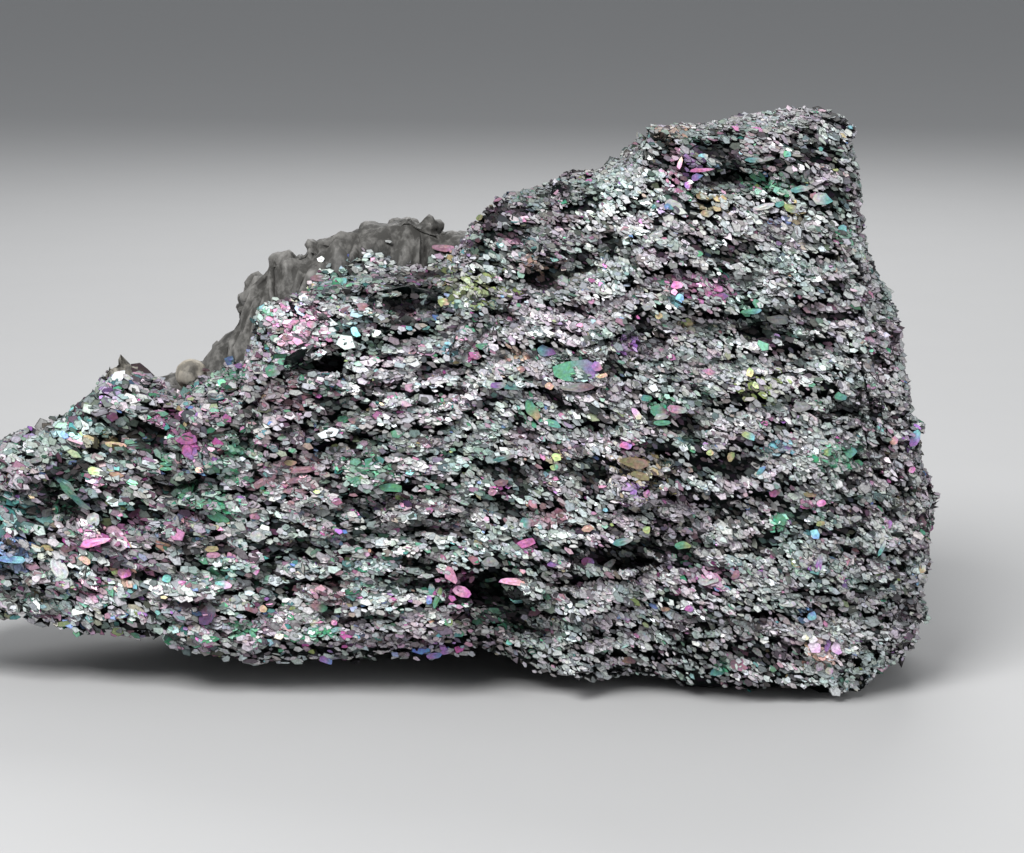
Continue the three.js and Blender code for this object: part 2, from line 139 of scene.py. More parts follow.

# Larger plates on the face: [colour at its left, colour at its right, steps across and down the front view
# to its middle, its length and width in steps, rise of its right end in degrees, shine]. The shine scales
# the plate's colour: above 1 it is a painted highlight, below 1 the plate is darker.
FrontPlate = namedtuple("FrontPlate", "left right across down length width turn shine")
FRONT_PLATES = [FrontPlate(*row) for row in (
    ("green", "violet", 579, 371, 54, 21, 0, 1), ("grey", "pink", 571, 367, 30, 9, -3, 1.05),
    ("green", "green", 574, 374, 28, 5, -2, 0.75), ("grey", "grey", 571, 371, 12, 3, 0, 0.1),
    ("violet", "pink", 596, 366, 12, 9, -20, 1), ("gold", "peach", 602, 376, 12, 4, 15, 1.3),
    ("grey", "rose", 578, 387, 38, 9, 3, 0.8), ("teal", "grey", 515, 386, 25, 8, 5, 0.8),
    ("violet", "grey", 498, 385, 16, 6, 5, 0.8), ("green", "gold", 532, 410, 22, 12, -62, 0.9),
    ("green", "teal", 554, 424, 18, 7, -15, 1.2), ("green", "pink", 661, 410, 22, 13, 0, 0.9),
    ("pink", "grey", 676, 410, 20, 9, -5, 0.9), ("green", "green", 662, 423, 17, 7, 0, 0.8),
    ("teal", "green", 646, 398, 12, 7, 0, 0.9), ("pink", "peach", 636, 413, 14, 8, -55, 2.2),
    ("gold", "peach", 634, 462, 26, 12, -10, 0.6), ("gold", "gold", 641, 476, 20, 9, -15, 0.55),
    ("magenta", "violet", 626, 446, 13, 8, 0, 1.1), ("violet", "violet", 634, 493, 8, 8, 0, 1.1),
    ("pink", "magenta", 647, 494, 8, 8, 0, 0.9), ("magenta", "magenta", 526, 543, 19, 9, 15, 1),
    ("rose", "rose", 501, 483, 16, 7, 0, 0.6), ("rose", "pink", 493, 492, 9, 6, 0, 0.9),
    ("lime", "lime", 556, 457, 10, 9, -30, 2), ("lime", "green", 554, 467, 9, 6, 0, 1.6),
    ("peach", "peach", 550, 386, 9, 6, 0, 1.2), ("peach", "rose", 520, 370, 13, 6, 20, 0.8),
    ("green", "lime", 683, 545, 15, 9, 0, 1), ("peach", "peach", 588, 528, 14, 6, 5, 0.9),
    ("magenta", "rose", 476, 355, 13, 8, -15, 0.9), ("green", "teal", 485, 347, 20, 7, -8, 0.6),
    ("teal", "grey", 503, 458, 20, 5, 15, 0.6), ("violet", "violet", 612, 347, 7, 7, 0, 1),
    ("teal", "grey", 622, 542, 20, 8, 10, 0.7), ("lime", "lime", 647, 530, 8, 8, 0, 1.1),
    ("green", "teal", 374, 464, 20, 17, 20, 0.9), ("green", "lime", 359, 481, 17, 10, 0, 0.8),
    ("gold", "green", 387, 477, 15, 12, 0, 0.8), ("green", "green", 391, 488, 24, 8, -8, 0.8),
    ("lime", "green", 401, 499, 15, 6, -25, 1.1), ("rose", "rose", 306, 469, 30, 6, 8, 0.8),
    ("rose", "pink", 300, 480, 26, 6, 5, 0.7), ("rose", "rose", 296, 492, 24, 6, -3, 0.7),
    ("green", "grey", 273, 371, 15, 13, 0, 0.7), ("green", "green", 286, 363, 16, 8, -15, 0.7),
    ("blue", "teal", 233, 360, 18, 10, 5, 0.5), ("green", "lime", 223, 385, 14, 9, -50, 1.7),
    ("pink", "pink", 451, 575, 18, 12, -62, 1.1), ("pink", "magenta", 462, 591, 19, 11, -20, 1.1),
    ("pink", "pink", 472, 579, 8, 5, 60, 1), ("green", "green", 217, 516, 23, 10, -18, 1),
    ("rose", "green", 355, 421, 14, 7, 0, 0.8), ("green", "green", 344, 420, 12, 7, 0, 0.7),
    ("lime", "green", 266, 493, 14, 5, -32, 1), ("rose", "rose", 261, 483, 17, 7, 28, 0.7),
    ("violet", "pink", 246, 561, 7, 7, 20, 1.1), ("gold", "peach", 290, 463, 13, 5, 0, 0.9),
    ("magenta", "magenta", 188, 438, 22, 12, 5, 0.8), ("magenta", "violet", 190, 450, 18, 14, -40, 0.9),
    ("pink", "peach", 198, 460, 10, 7, 0, 1.9), ("peach", "rose", 200, 469, 9, 7, 0, 1.4),
    ("green", "green", 167, 460, 13, 4, 2, 1), ("green", "green", 167, 464, 13, 4, 2, 1),
    ("green", "green", 167, 469, 13, 4, 2, 1), ("pink", "violet", 184, 415, 13, 8, 0, 1),
    ("violet", "blue", 200, 417, 15, 8, -5, 0.9), ("gold", "gold", 91, 440, 17, 7, -22, 1),
    ("gold", "peach", 117, 445, 26, 6, -8, 0.9), ("lime", "grey", 97, 472, 20, 9, -15, 1.8),
    ("teal", "grey", 66, 484, 28, 7, -38, 0.5), ("green", "grey", 72, 494, 30, 7, -40, 0.4),
    ("teal", "grey", 80, 503, 26, 6, -42, 0.5), ("teal", "green", 6, 532, 16, 16, 0, 0.7),
    ("blue", "cyan", 10, 559, 26, 8, -8, 1.5), ("magenta", "pink", 95, 542, 32, 9, 12, 1.5),
    ("rose", "rose", 69, 548, 16, 8, 10, 0.5), ("pink", "magenta", 125, 571, 14, 12, -30, 1.6),
    ("lime", "gold", 115, 571, 7, 6, 0, 2.2), ("peach", "peach", 85, 560, 13, 7, -25, 1.7),
    ("gold", "gold", 212, 548, 14, 6, 0, 0.9), ("pink", "pink", 213, 555, 14, 6, 0, 0.9),
    ("teal", "teal", 168, 579, 9, 9, 0, 1.8), ("pink", "magenta", 182, 583, 10, 6, 0, 1.4),
    ("teal", "cyan", 230, 578, 9, 9, 0, 2), ("pink", "magenta", 255, 570, 9, 9, 0, 2),
    ("teal", "pink", 223, 585, 24, 8, 0, 1.8), ("rose", "rose", 140, 373, 28, 15, -32, 0.1),
    ("grey", "grey", 119, 378, 17, 12, 50, 1.9), ("violet", "blue", 243, 367, 14, 5, 0, 0.4),
    ("green", "grey", 256, 362, 14, 9, 0, 0.55), ("rose", "rose", 212, 372, 14, 4, 0, 0.25),
    ("grey", "violet", 131, 380, 20, 5, -35, 0.9), ("teal", "grey", 75, 411, 12, 8, 0, 1.5),
    ("grey", "grey", 93, 520, 13, 12, 0, 1.3), ("grey", "grey", 60, 569, 24, 15, -50, 1.5),
    ("cyan", "grey", 36, 595, 11, 6, -20, 1.5), ("grey", "green", 56, 603, 12, 10, 30, 1.8),
    ("violet", "grey", 208, 613, 22, 15, 60, 0.35), ("pink", "peach", 679, 165, 13, 5, 75, 1.8),
    ("magenta", "pink", 700, 171, 26, 4, 4, 1.2), ("violet", "blue", 695, 178, 13, 6, 18, 0.8),
    ("cyan", "grey", 703, 158, 11, 8, 0, 1.2), ("violet", "pink", 688, 185, 7, 6, 30, 1.6),
    ("green", "green", 759, 175, 15, 9, -15, 0.9), ("teal", "grey", 754, 161, 20, 5, 0, 0.8),
    ("green", "teal", 786, 155, 9, 7, 0, 1.1), ("teal", "grey", 799, 190, 20, 6, 5, 1),
    ("grey", "teal", 822, 199, 19, 12, -10, 1.1), ("rose", "pink", 814, 196, 7, 6, 0, 1),
    ("lime", "grey", 792, 209, 17, 9, -22, 1.1), ("teal", "green", 779, 204, 9, 7, 20, 1),
    ("grey", "grey", 764, 208, 22, 6, 12, 1.1), ("blue", "teal", 668, 208, 11, 8, -20, 0.9),
    ("teal", "grey", 655, 206, 9, 5, 20, 0.9), ("teal", "cyan", 842, 229, 10, 8, 0, 1.1),
    ("green", "lime", 861, 256, 9, 6, -50, 1.3), ("gold", "grey", 701, 196, 13, 8, -25, 0.8),
    ("gold", "grey", 706, 214, 13, 8, 0, 0.8), ("magenta", "pink", 677, 286, 13, 9, 0, 1.2),
    ("pink", "pink", 674, 292, 7, 7, 0, 1.8), ("cyan", "blue", 680, 299, 10, 8, -30, 1.3),
    ("gold", "gold", 659, 315, 10, 6, -10, 1.3), ("lime", "gold", 686, 323, 12, 9, -15, 1.5),
    ("magenta", "violet", 720, 297, 15, 7, 5, 0.7), ("green", "cyan", 753, 311, 22, 7, 3, 1),
    ("grey", "grey", 778, 319, 23, 10, -3, 1), ("gold", "grey", 711, 123, 20, 6, 0, 0.6),
    ("peach", "rose", 668, 127, 15, 9, -20, 0.8), ("green", "green", 700, 254, 6, 5, 30, 1.2),
    ("pink", "teal", 713, 373, 20, 9, -20, 0.9), ("gold", "lime", 749, 373, 10, 8, 60, 1.8),
    ("gold", "lime", 730, 456, 10, 8, 50, 1), ("lime", "gold", 710, 453, 8, 6, 0, 1.4),
    ("cyan", "violet", 780, 446, 27, 12, 5, 1.1), ("green", "teal", 840, 396, 13, 8, -15, 1),
    ("grey", "grey", 849, 393, 14, 5, -20, 1), ("green", "teal", 849, 452, 14, 12, 0, 0.9),
    ("lime", "green", 827, 453, 9, 8, 0, 0.9), ("green", "green", 858, 463, 11, 8, 0, 0.9),
    ("peach", "pink", 894, 441, 9, 7, 45, 1.1), ("violet", "cyan", 914, 439, 19, 10, 75, 1.3),
    ("pink", "magenta", 911, 469, 7, 6, 0, 1.8), ("magenta", "rose", 774, 493, 11, 7, 0, 0.9),
    ("pink", "magenta", 821, 503, 10, 9, 0, 1.5), ("magenta", "pink", 806, 505, 12, 10, 0, 0.9),
    ("teal", "blue", 760, 471, 15, 5, 48, 1), ("green", "green", 780, 519, 14, 10, -38, 0.8),
    ("cyan", "blue", 815, 534, 12, 8, -50, 1.6), ("lime", "gold", 820, 523, 10, 5, 15, 1),
    ("teal", "grey", 881, 549, 19, 5, 62, 1.1), ("pink", "magenta", 716, 580, 16, 11, -60, 0.9),
    ("rose", "pink", 736, 575, 10, 7, 50, 0.9), ("pink", "rose", 844, 562, 14, 10, 60, 0.9),
    ("violet", "grey", 818, 563, 20, 6, 80, 0.9), ("lime", "pink", 797, 561, 16, 12, 0, 0.9),
    ("peach", "gold", 804, 637, 7, 6, 0, 3), ("peach", "pink", 812, 639, 10, 8, -40, 2.9),
    ("pink", "violet", 815, 647, 15, 12, -40, 2.8), ("violet", "violet", 827, 645, 12, 6, 80, 0.8),
    ("pink", "violet", 836, 648, 15, 9, -70, 2.6), ("pink", "grey", 819, 667, 10, 8, 70, 2.6),
    ("peach", "pink", 828, 671, 8, 7, 0, 2.4), ("teal", "green", 720, 671, 20, 10, 10, 1),
    ("rose", "pink", 738, 665, 18, 13, -20, 0.8), ("peach", "gold", 665, 609, 9, 5, 0, 1.1),
    ("magenta", "violet", 689, 609, 9, 6, 0, 1), ("cyan", "blue", 812, 616, 10, 8, 70, 1.1),
    ("gold", "grey", 920, 569, 9, 7, 45, 1.1), ("peach", "rose", 628, 660, 15, 7, 0, 0.6),
    ("pink", "peach", 515, 582, 31, 8, -3, 1.3), ("green", "grey", 490, 580, 13, 4, 12, 0.7),
    ("green", "lime", 437, 598, 23, 5, 68, 1), ("blue", "violet", 429, 601, 11, 6, 80, 1.2),
    ("teal", "grey", 431, 589, 10, 6, 80, 1), ("violet", "blue", 434, 655, 14, 6, 10, 1.2),
    ("violet", "grey", 446, 651, 14, 6, 20, 1.1), ("teal", "green", 510, 641, 9, 7, 80, 2),
    ("teal", "green", 459, 634, 10, 6, 15, 1.1), ("green", "lime", 448, 621, 11, 7, -15, 1.2),
    ("green", "teal", 391, 557, 21, 7, 0, 0.5), ("violet", "blue", 557, 563, 21, 6, 12, 0.8),
    ("magenta", "violet", 587, 562, 15, 9, 0, 0.8), ("rose", "green", 319, 606, 17, 10, 0, 0.9),
    ("lime", "grey", 296, 605, 14, 6, 42, 0.9), ("rose", "rose", 251, 608, 15, 8, -20, 0.7),
    ("peach", "gold", 263, 608, 8, 7, -45, 1.4), ("green", "green", 241, 625, 11, 6, -20, 1.2),
    ("green", "green", 253, 634, 11, 5, -60, 1.2), ("lime", "grey", 314, 623, 11, 8, -20, 1.4),
    ("green", "green", 318, 631, 9, 7, 0, 1), ("pink", "magenta", 334, 623, 7, 6, 0, 1.5),
    ("violet", "blue", 326, 659, 16, 7, -20, 1.4), ("magenta", "pink", 200, 638, 9, 7, 20, 1.8),
    ("teal", "grey", 377, 637, 12, 9, 70, 1.2), ("violet", "rose", 206, 616, 22, 13, 62, 0.3),
    ("green", "teal", 340, 283, 14, 12, 0, 0.9), ("green", "grey", 353, 288, 15, 8, 0, 0.8),
    ("rose", "grey", 320, 278, 22, 8, 5, 0.7), ("lime", "peach", 444, 302, 11, 9, 0, 1.2),
    ("cyan", "teal", 356, 333, 13, 8, -50, 1.7), ("cyan", "grey", 449, 345, 11, 5, -20, 1.3),
    ("teal", "grey", 422, 340, 10, 5, -15, 1.3), ("rose", "pink", 443, 249, 28, 7, -3, 0.8),
    ("peach", "gold", 454.5, 252, 12, 4, -3, 0.9), ("violet", "grey", 469, 332, 8, 6, 20, 1),
    ("rose", "rose", 365, 307, 18, 9, 0, 0.7), ("pink", "pink", 296, 323, 11, 7, 10, 1),
    ("pink", "rose", 305, 333, 12, 7, 0, 1), ("rose", "pink", 288, 338, 14, 6, 5, 0.8),
    ("pink", "grey", 312, 325, 10, 7, -10, 1.1), ("grey", "grey", 303, 298, 8, 7, 0, 2),
    ("grey", "grey", 321, 260, 7, 6, 0, 2), ("grey", "grey", 377, 334, 8, 6, 0, 2),
    ("rose", "rose", 348, 310, 14, 8, 0, 0.6), ("green", "grey", 306, 361, 13, 6, 15, 0.6),
)]

# Where the face is paler and fuller, or darker and more open, than the rest: [gain, x, z, half width, half
# height], with some places in steps, as above.
TONE_SPOTS = [
    (2.0, 19.2, 50, 1.2, 3.6), (1.7, 21.4, 45, 1.1, 3), (1.6, 19.6, 40.6, 2.2, 2.8),
    (2.2, -3, 16.4, 2.8, 1.4), (1.8, (114, 374), 0.8, 0.8), (0.12, (490, 580), 3, 2),
    (0.2, -26.4, 25.8, 3.9, 1.4), (0.2, (327, 360), 2.4, 0.6), (0.3, 0.2, 40.2, 3, 2.3),
    (0.3, (730, 178), 2.8, 1.1), (0.3, (750, 330), 1.2, 0.5), (0.25, (610, 549.5), 3, 0.9),
    (0.2, (515, 614), 2.2, 2.2), (0.35, (65, 495), 2.2, 1.4), (0.4, (725, 467), 3.3, 1.4),
    (0.35, (512, 232), 1.8, 0.8), (0.45, (650, 540), 4.7, 1.6), (0.7, -6.6, 42.4, 9, 2.6),
    (0.85, -36, 20, 12, 8), (1.9, 38.8, 5, 1.8, 1.8), (1.7, -28.2, 28.8, 3, 0.9), (1.9, -31.5, 9.4, 6, 2.6),
    (1.6, -37.5, 24.6, 2.5, 1.5), (0.6, -25.4, 17, 1.6, 3), (0.55, -34, 20, 2.4, 2),
    (0.45, -21.3, 15.4, 1.6, 1.4), (0.55, 25, 45.5, 2.8, 2.8), (0.65, 10.9, 26.8, 4.5, 2),
    (0.45, 31.4, 27.2, 2.8, 1.4), (0.5, 25.5, 18.6, 3, 1.2), (1.7, 45.5, 23.2, 2.5, 2.5),
    (1.5, 43.5, 40.3, 2.5, 2.5), (1.6, -10.6, 36.8, 2.8, 2), (1.7, -2.3, 30.3, 1.5, 1.5),
    (1.6, 0.3, 23.6, 1.2, 1.8), (0.5, -6.8, 30.2, 1.8, 0.9), (0.55, -10.3, 27.3, 2.2, 0.9),
    (0.55, -12, 18.7, 4, 0.9), (0.4, -13.5, 11.6, 2.6, 0.9), (0.5, -22.3, 22.2, 1.8, 1.6),
    (0.5, -28.2, 21, 1.6, 0.9), (0.4, 7.3, 46, 1.2, 1), (0.35, 18.7, 45.4, 1, 1.4),
]
SPOT_FULLNESS = 0.5  # how much fuller the layers are for a gain of e

# Dull crust away from the crest: [x, y, z, reach], in millimetres.
CRUST_SPOTS = [
    (-22.3, -0.6, 30.1, 3.0), (-28.8, 0.1, 30.7, 2.8), (16, -1, 51.5, 1.7), (30, 0, 56, 2),
    (49.3, -5.6, 25.6, 1.7), (49.6, -3.2, 22.6, 2),
]
# Lower edge of the crust, as [x, the height that it seems to have from SLOPE above the horizon].
CRUST_LINE = [
    (-29, 29.6), (-26.6, 28.6), (-24.2, 28.2), (-21, 29.8), (-17.5, 30.3), (-16, 31.4), (-15.2, 37.7),
    (-11.6, 38.7), (-7.1, 42), (-4.1, 42.7), (-1.6, 42.1), (2.4, 41.5), (5.9, 42.7), (9, 44),
]
# The paler knob on the low crest, the bare crystal beside it, and where corners stay sharp: [x, y, z, reach].
KNOB_SPOT = (-22.3, -0.6, 30.1, 2.6)
PEAK_SPOT = (-29.3, 0.1, 30.8, 3.0)
SHARP_SPOTS = [PEAK_SPOT, (7.3, -2.8, 47.2, 3.6)]
# How far the finest layers have run down from the narrow end, as [x, drop]. They fall to the blunt end.
LAYER_DROP = [(-52, 0), (-20, 14), (-7, 16.8), (5, 18.6), (16, 25), (52, 50)]


# ---------------------------------------------------------------- settings


class BodySettings(bpy.types.PropertyGroup):
    """Relief and finish of the dark body under the plates."""

    layer_height: bpy.props.FloatProperty(
        name="Layer height", description="Height of one layer of plates, in millimetres",
        default=1.0, min=0.2,
    )
    layer_run: bpy.props.FloatProperty(
        name="Layer run", description="Length of a layer before it breaks, in millimetres",
        default=2.6, min=0.5,
    )
    layer_reach: bpy.props.FloatProperty(
        name="Layer reach", description="How far a layer stands out, in millimetres", default=0.38
    )
    layer_bend: bpy.props.FloatProperty(
        name="Layer bend", description="Rise of the layers to both ends: of z for the square of x",
        default=0.0026,
    )
    fullness: bpy.props.FloatProperty(
        name="Fullness", description="How much of the surface is layer and not slit", default=0.12
    )
    slit_share: bpy.props.FloatProperty(
        name="Slit share", description="Share of the plates that stay in the slits between layers",
        default=0.34,
    )
    plate_depth: bpy.props.FloatProperty(
        name="Plate depth", description="How far under the solid's surface the plates lie, in millimetres",
        default=0.18,
    )
    body_depth: bpy.props.FloatProperty(
        name="Body depth", description="How far under that surface the dark body lies, in millimetres",
        default=0.6,
    )
    top_rise: bpy.props.FloatProperty(
        name="Top rise",
        description="How far the top of the blunt end is raised after its rounding, in millimetres",
        default=0.4,
    )
    crust_reach: bpy.props.FloatProperty(
        name="Crust reach", description="How far the crust's lumps stand out, in millimetres", default=0.7
    )
    gap_colour: bpy.props.FloatVectorProperty(
        name="Gap colour", description="Colour in the gaps between plates",
        subtype="COLOR", default=(0.0012, 0.0038, 0.0034),
    )
    crust_dark: bpy.props.FloatVectorProperty(
        name="Dark crust", description="Darker colour of the crust",
        subtype="COLOR", default=(0.058, 0.056, 0.052),
    )
    crust_pale: bpy.props.FloatVectorProperty(
        name="Pale crust", description="Paler colour of the crust",
        subtype="COLOR", default=(0.226, 0.219, 0.207),
    )
    knob_colour: bpy.props.FloatVectorProperty(
        name="Knob", description="Palest colour of the knob", subtype="COLOR", default=(0.42, 0.38, 0.31)
    )


class PlateSettings(bpy.types.PropertyGroup):
    """Size, number and finish of the plates."""

    face_count: bpy.props.IntProperty(
        name="Face plates", description="Small plates on the face and top", default=76000
    )
    back_count: bpy.props.IntProperty(
        name="Back plates", description="Small plates on the back and ends", default=24000
    )
    fine_length: bpy.props.FloatProperty(
        name="Fine length", description="Length of a plate at the blunt end, in millimetres", default=0.72
    )
    coarse_length: bpy.props.FloatProperty(
        name="Coarse length", description="Length of a plate at the narrow end, in millimetres",
        default=1.05,
    )
    lift: bpy.props.FloatProperty(name="Tip up", description="How much the plates turn up", default=0.3)
    level: bpy.props.FloatProperty(
        name="Tip level", description="How much the plates turn to the sides of the specimen", default=0.5
    )
    scatter: bpy.props.FloatProperty(
        name="Scatter", description="How much each plate's direction differs from its neighbours'",
        default=0.3,
    )
    stray_count: bpy.props.IntProperty(
        name="Stray plates", description="Larger plates all round", default=150
    )
    tone: bpy.props.FloatProperty(
        name="Tone", description="Middle brightness of the bare plates", default=0.7
    )
    dark_share: bpy.props.FloatProperty(
        name="Dark share", description="Share of plates that are dark", default=0.2
    )
    # painted shade: how dark a plate's rim and sides are drawn
    rim: bpy.props.FloatProperty(
        name="Rim", description="Brightness of a plate's rim beside its middle", default=0.2
    )
    tarnished: bpy.props.FloatProperty(
        name="Tarnished", description="Share of stray plates with a colour of their own", default=0.14
    )
    spot_share: bpy.props.FloatProperty(
        name="Spot share", description="Share of small plates with the colour of the spot they are in",
        default=0.85,
    )
    # painted highlights: a share of plates drawn near-white or in bright tarnish colours
    painted_glints: bpy.props.FloatProperty(
        name="Glints", description="Share of plates that shine the most", default=0.006
    )


class StageSettings(bpy.types.PropertyGroup):
    """Camera, light and floor."""

    lens: bpy.props.FloatProperty(
        name="Lens", description="Focal length, in millimetres", default=VIEW_LENS
    )
    distance: bpy.props.FloatProperty(
        name="Distance", description="From the camera to the point it looks at",
        default=VIEW_DISTANCE * MM, unit="LENGTH",
    )
    elevation: bpy.props.FloatProperty(
        name="Elevation", description="Height of the camera as an angle",
        default=SLOPE, subtype="ANGLE",
    )
    aim: bpy.props.FloatVectorProperty(
        name="Aim", description="Point that the camera looks at",
        default=[place * MM for place in VIEW_AIM], subtype="TRANSLATION",
    )
    key_power: bpy.props.FloatProperty(
        name="Key light", description="Power of the large soft light", default=3.05
    )
    fill_power: bpy.props.FloatProperty(
        name="Fill light", description="Power of the light on the other side", default=0.45
    )
    back_power: bpy.props.FloatProperty(
        name="Back light", description="Power of the light behind", default=1.0
    )
    surround: bpy.props.FloatProperty(name="Surround", description="Brightness of the room", default=0.32)
    floor_colour: bpy.props.FloatVectorProperty(
        name="Floor", description="Colour of the floor", subtype="COLOR", default=(0.5, 0.5, 0.5)
    )


# ---------------------------------------------------------------- numbers from places


def lattice_random(cell, seed):
    """A repeatable number from 0 to 1 for each whole-number cell: its coordinates are multiplied by
    large primes, added, and their bits mixed."""
    mixed = sum(cell[:, k] * CELL_PRIMES[k] for k in range(3)) + seed * SEED_PRIME & 0xFFFFFFFF
    mixed = ((mixed ^ (mixed >> 13)) * MIX_PRIME) & 0xFFFFFFFF
    return ((mixed ^ (mixed >> 16)) & 0xFFFFFF) / float(0xFFFFFF)


def noise(points, span, seed):
    """Smooth noise from -1 to 1: random values on a lattice of the given span, blended with 3t^2 - 2t^3."""
    scaled = points / np.asarray(span, float)
    cell = np.floor(scaled).astype(np.int64)
    part = scaled - cell
    part = part * part * (3 - 2 * part)
    total = np.zeros(len(points))
    for corner in range(8):
        step = np.array([corner & 1, (corner >> 1) & 1, corner >> 2])
        share = np.prod(np.where(step, part, 1 - part), axis=1)
        total += share * lattice_random(cell + step, seed)
    return 2 * total - 1


def ramp(values, low, high):
    """0 below low, 1 above high, and 3t^2 - 2t^3 between."""
    t = np.clip((values - low) / (high - low), 0, 1)
    return t * t * (3 - 2 * t)


def unit(vectors):
    """Each row divided by its length."""
    return vectors / np.maximum(np.linalg.norm(vectors, axis=1, keepdims=True), 1e-12)


def dropped(points, share):
    """The points with their heights raised by a share of how far the layers have dropped there, so that noise
    which is level in the result runs down along the specimen."""
    raised = points.copy()
    raised[:, 2] += share * np.interp(points[:, 0], *zip(*LAYER_DROP))
    return raised


def layer_field(points):
    """From -1 in the slit between two layers to 1 on a layer's lip, for points in millimetres. It is a cosine
    of the height with noise that is long in x and y and thin in z, sharpened with tanh. The heights are
    first bent, so that the layers rise to both ends and wander, and the finer the noise, the more it runs
    down to the blunt end."""
    body = bpy.context.scene.specimen_body
    tall, run = body.layer_height, body.layer_run
    bent = points.copy()
    bent[:, 2] += 2.2 * noise(points, 14, 21) + 0.8 * noise(points, 4.2, 22)
    bent[:, 2] -= body.layer_bend * (points[:, 0] - 5) ** 2
    field = 0.22 * np.cos(2 * math.pi / tall * bent[:, 2]) + body.fullness
    for weight, length, height, seed, share in (
        (0.8, 1, 0.85, 23, 0.45), (0.85, 0.55, 0.42, 25, 1.0), (0.4, 2.6, 2.6, 24, 0.0)
    ):
        field += weight * noise(dropped(bent, share), (length * run, length * run, height * tall), seed)
    for gain, *spot in placed(TONE_SPOTS):
        field += SPOT_FULLNESS * math.log(gain) * spot_share(points, spot)
    return np.tanh(1.8 * field)


def crust_field(points):
    """From 0 on the plates to 1 on the crust. The crust lies behind and above a line over the left half of
    the crest, which is drawn on the specimen's height as it looks from a little above and falls towards the
    back, and in round spots."""
    x, y, z = points.T
    seen_height = z * math.cos(SLOPE) + y * math.sin(SLOPE)
    ragged = noise(points, (2.2, 2.2, 1.6), 31)
    behind = np.maximum(y - 3, 0)
    lower_edge = np.interp(x, *zip(*CRUST_LINE)) - 0.6 * behind
    field = ramp(seen_height + (0.7 + 0.1 * behind) * ragged - lower_edge, -0.5, 0.7)
    field *= ramp(x, -27.5, -26) * ramp(8.6 - x, 0, 1.5) * ramp(y + ragged, -2, 0)
    field *= ramp(seen_height + 2 * ragged, 22, 26)
    for cx, cy, cz, reach in CRUST_SPOTS:
        far = np.sqrt((x - cx) ** 2 + (y - cy) ** 2 + (z - cz) ** 2) + 0.7 * ragged
        field = np.maximum(field, 1 - ramp(far, 0.75 * reach, 1.1 * reach))
    return field


def ball_share(points, ball):
    """1 well inside a ball, given as [x, y, z, reach], and 0 beyond its reach."""
    return 1 - ramp(np.linalg.norm(points - ball[:3], axis=1), 0.6 * ball[3], ball[3])


def spot_share(points, spot):
    """How far inside an upright elliptical spot on the face, [x, z, half width, half height], each point
    lies: a bell, 1 at its middle."""
    cx, cz, half_width, half_height = spot
    far = ((points[:, 0] - cx) / half_width) ** 2 + ((points[:, 2] - cz) / half_height) ** 2
    return np.exp(-(far**1.5)) * (points[:, 1] < 2)


# ---------------------------------------------------------------- the body's surface

Surface = namedtuple("Surface", "corners faces smooth normals crust lumps")


def merged_solid():
    """The solid's own triangles with their shared corners joined, in millimetres."""
    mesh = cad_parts[NODE].data
    mesh.calc_loop_triangles()
    corners = np.empty(len(mesh.vertices) * 3, np.float64)
    mesh.vertices.foreach_get("co", corners)
    faces = np.empty(len(mesh.loop_triangles) * 3, np.int64)
    mesh.loop_triangles.foreach_get("vertices", faces)
    corners = corners.reshape(-1, 3) / MM
    _, first, which = np.unique(np.round(corners, 4), axis=0, return_index=True, return_inverse=True)
    return corners[first], which.reshape(-1)[faces].reshape(-1, 3)


@lru_cache(maxsize=1)
def solid_tree():
    """The solid's triangles, for finding where a line of sight meets them."""
    corners, faces = merged_solid()
    return BVHTree.FromPolygons(corners.tolist(), faces.tolist())


@lru_cache(maxsize=None)
def front_hit(across, down):
    """The place on the solid at so many steps across and down the front view, or the nearest one where that
    line of sight misses it, and how far it is from the camera as a share of VIEW_DISTANCE."""
    away = Vector((0, -math.cos(SLOPE), math.sin(SLOPE)))
    up = Vector((0, math.sin(SLOPE), math.cos(SLOPE)))
    camera = Vector(VIEW_AIM) + VIEW_DISTANCE * away
    right_of_middle, above_middle = across - VIEW_STEPS[0] / 2, VIEW_STEPS[1] / 2 - down
    sight = Vector((right_of_middle, 0, 0)) + above_middle * up
    sight = sight * (VIEW_SENSOR / VIEW_LENS / VIEW_STEPS[0]) - away
    place = solid_tree().ray_cast(camera, sight.normalized())[0]
    if place is None:
        place = solid_tree().find_nearest(camera + VIEW_DISTANCE * sight)[0]
    return place, (place - camera).length / VIEW_DISTANCE


def placed(spots):
    """The spots of a table as [colour or gain, x, z, half width, half height], with the places that are given
    in steps found on the solid, to a tenth of a millimetre."""
    for kind, *spot in spots:
        if isinstance(spot[0], tuple):
            place, _ = front_hit(*spot[0])
            spot[:1] = round(place.x, 1), round(place.z, 1)
        yield kind, *spot


def halved(corners, faces):
    """Each triangle cut into four at the middles of its sides."""
    sides = np.sort(np.concatenate([faces[:, [0, 1]], faces[:, [1, 2]], faces[:, [2, 0]]]), axis=1)
    whole, which = np.unique(sides, axis=0, return_inverse=True)
    which = which.reshape(-1)
    middles = corners[whole].mean(axis=1)
    a, b, c = faces.T
    ab, bc, ca = (which.reshape(3, -1) + len(corners))
    quarters = [(a, ab, ca), (ab, b, bc), (ca, bc, c), (ab, bc, ca)]
    return np.concatenate([corners, middles]), np.concatenate([np.stack(q, axis=1) for q in quarters])


def corner_normals(corners, faces):
    """Outward directions at the corners, from the sum of the crossed sides of the triangles round each."""
    a, b, c = (corners[faces[:, k]] for k in range(3))
    crossed = np.cross(b - a, c - a)
    total = np.zeros_like(corners)
    for k in range(3):
        np.add.at(total, faces[:, k], crossed)
    return unit(total)


def relaxed(corners, faces, rounds, share):
    """Corners drawn part way to the middle of their neighbours, which rounds the facets off."""
    for _ in range(rounds):
        total = np.zeros_like(corners)
        count = np.zeros(len(corners))
        for k in range(3):
            np.add.at(total, faces[:, k], corners[faces[:, (k + 1) % 3]])
            np.add.at(count, faces[:, k], 1)
        corners = corners + share * (total / np.maximum(count, 1)[:, None] - corners)
    return corners


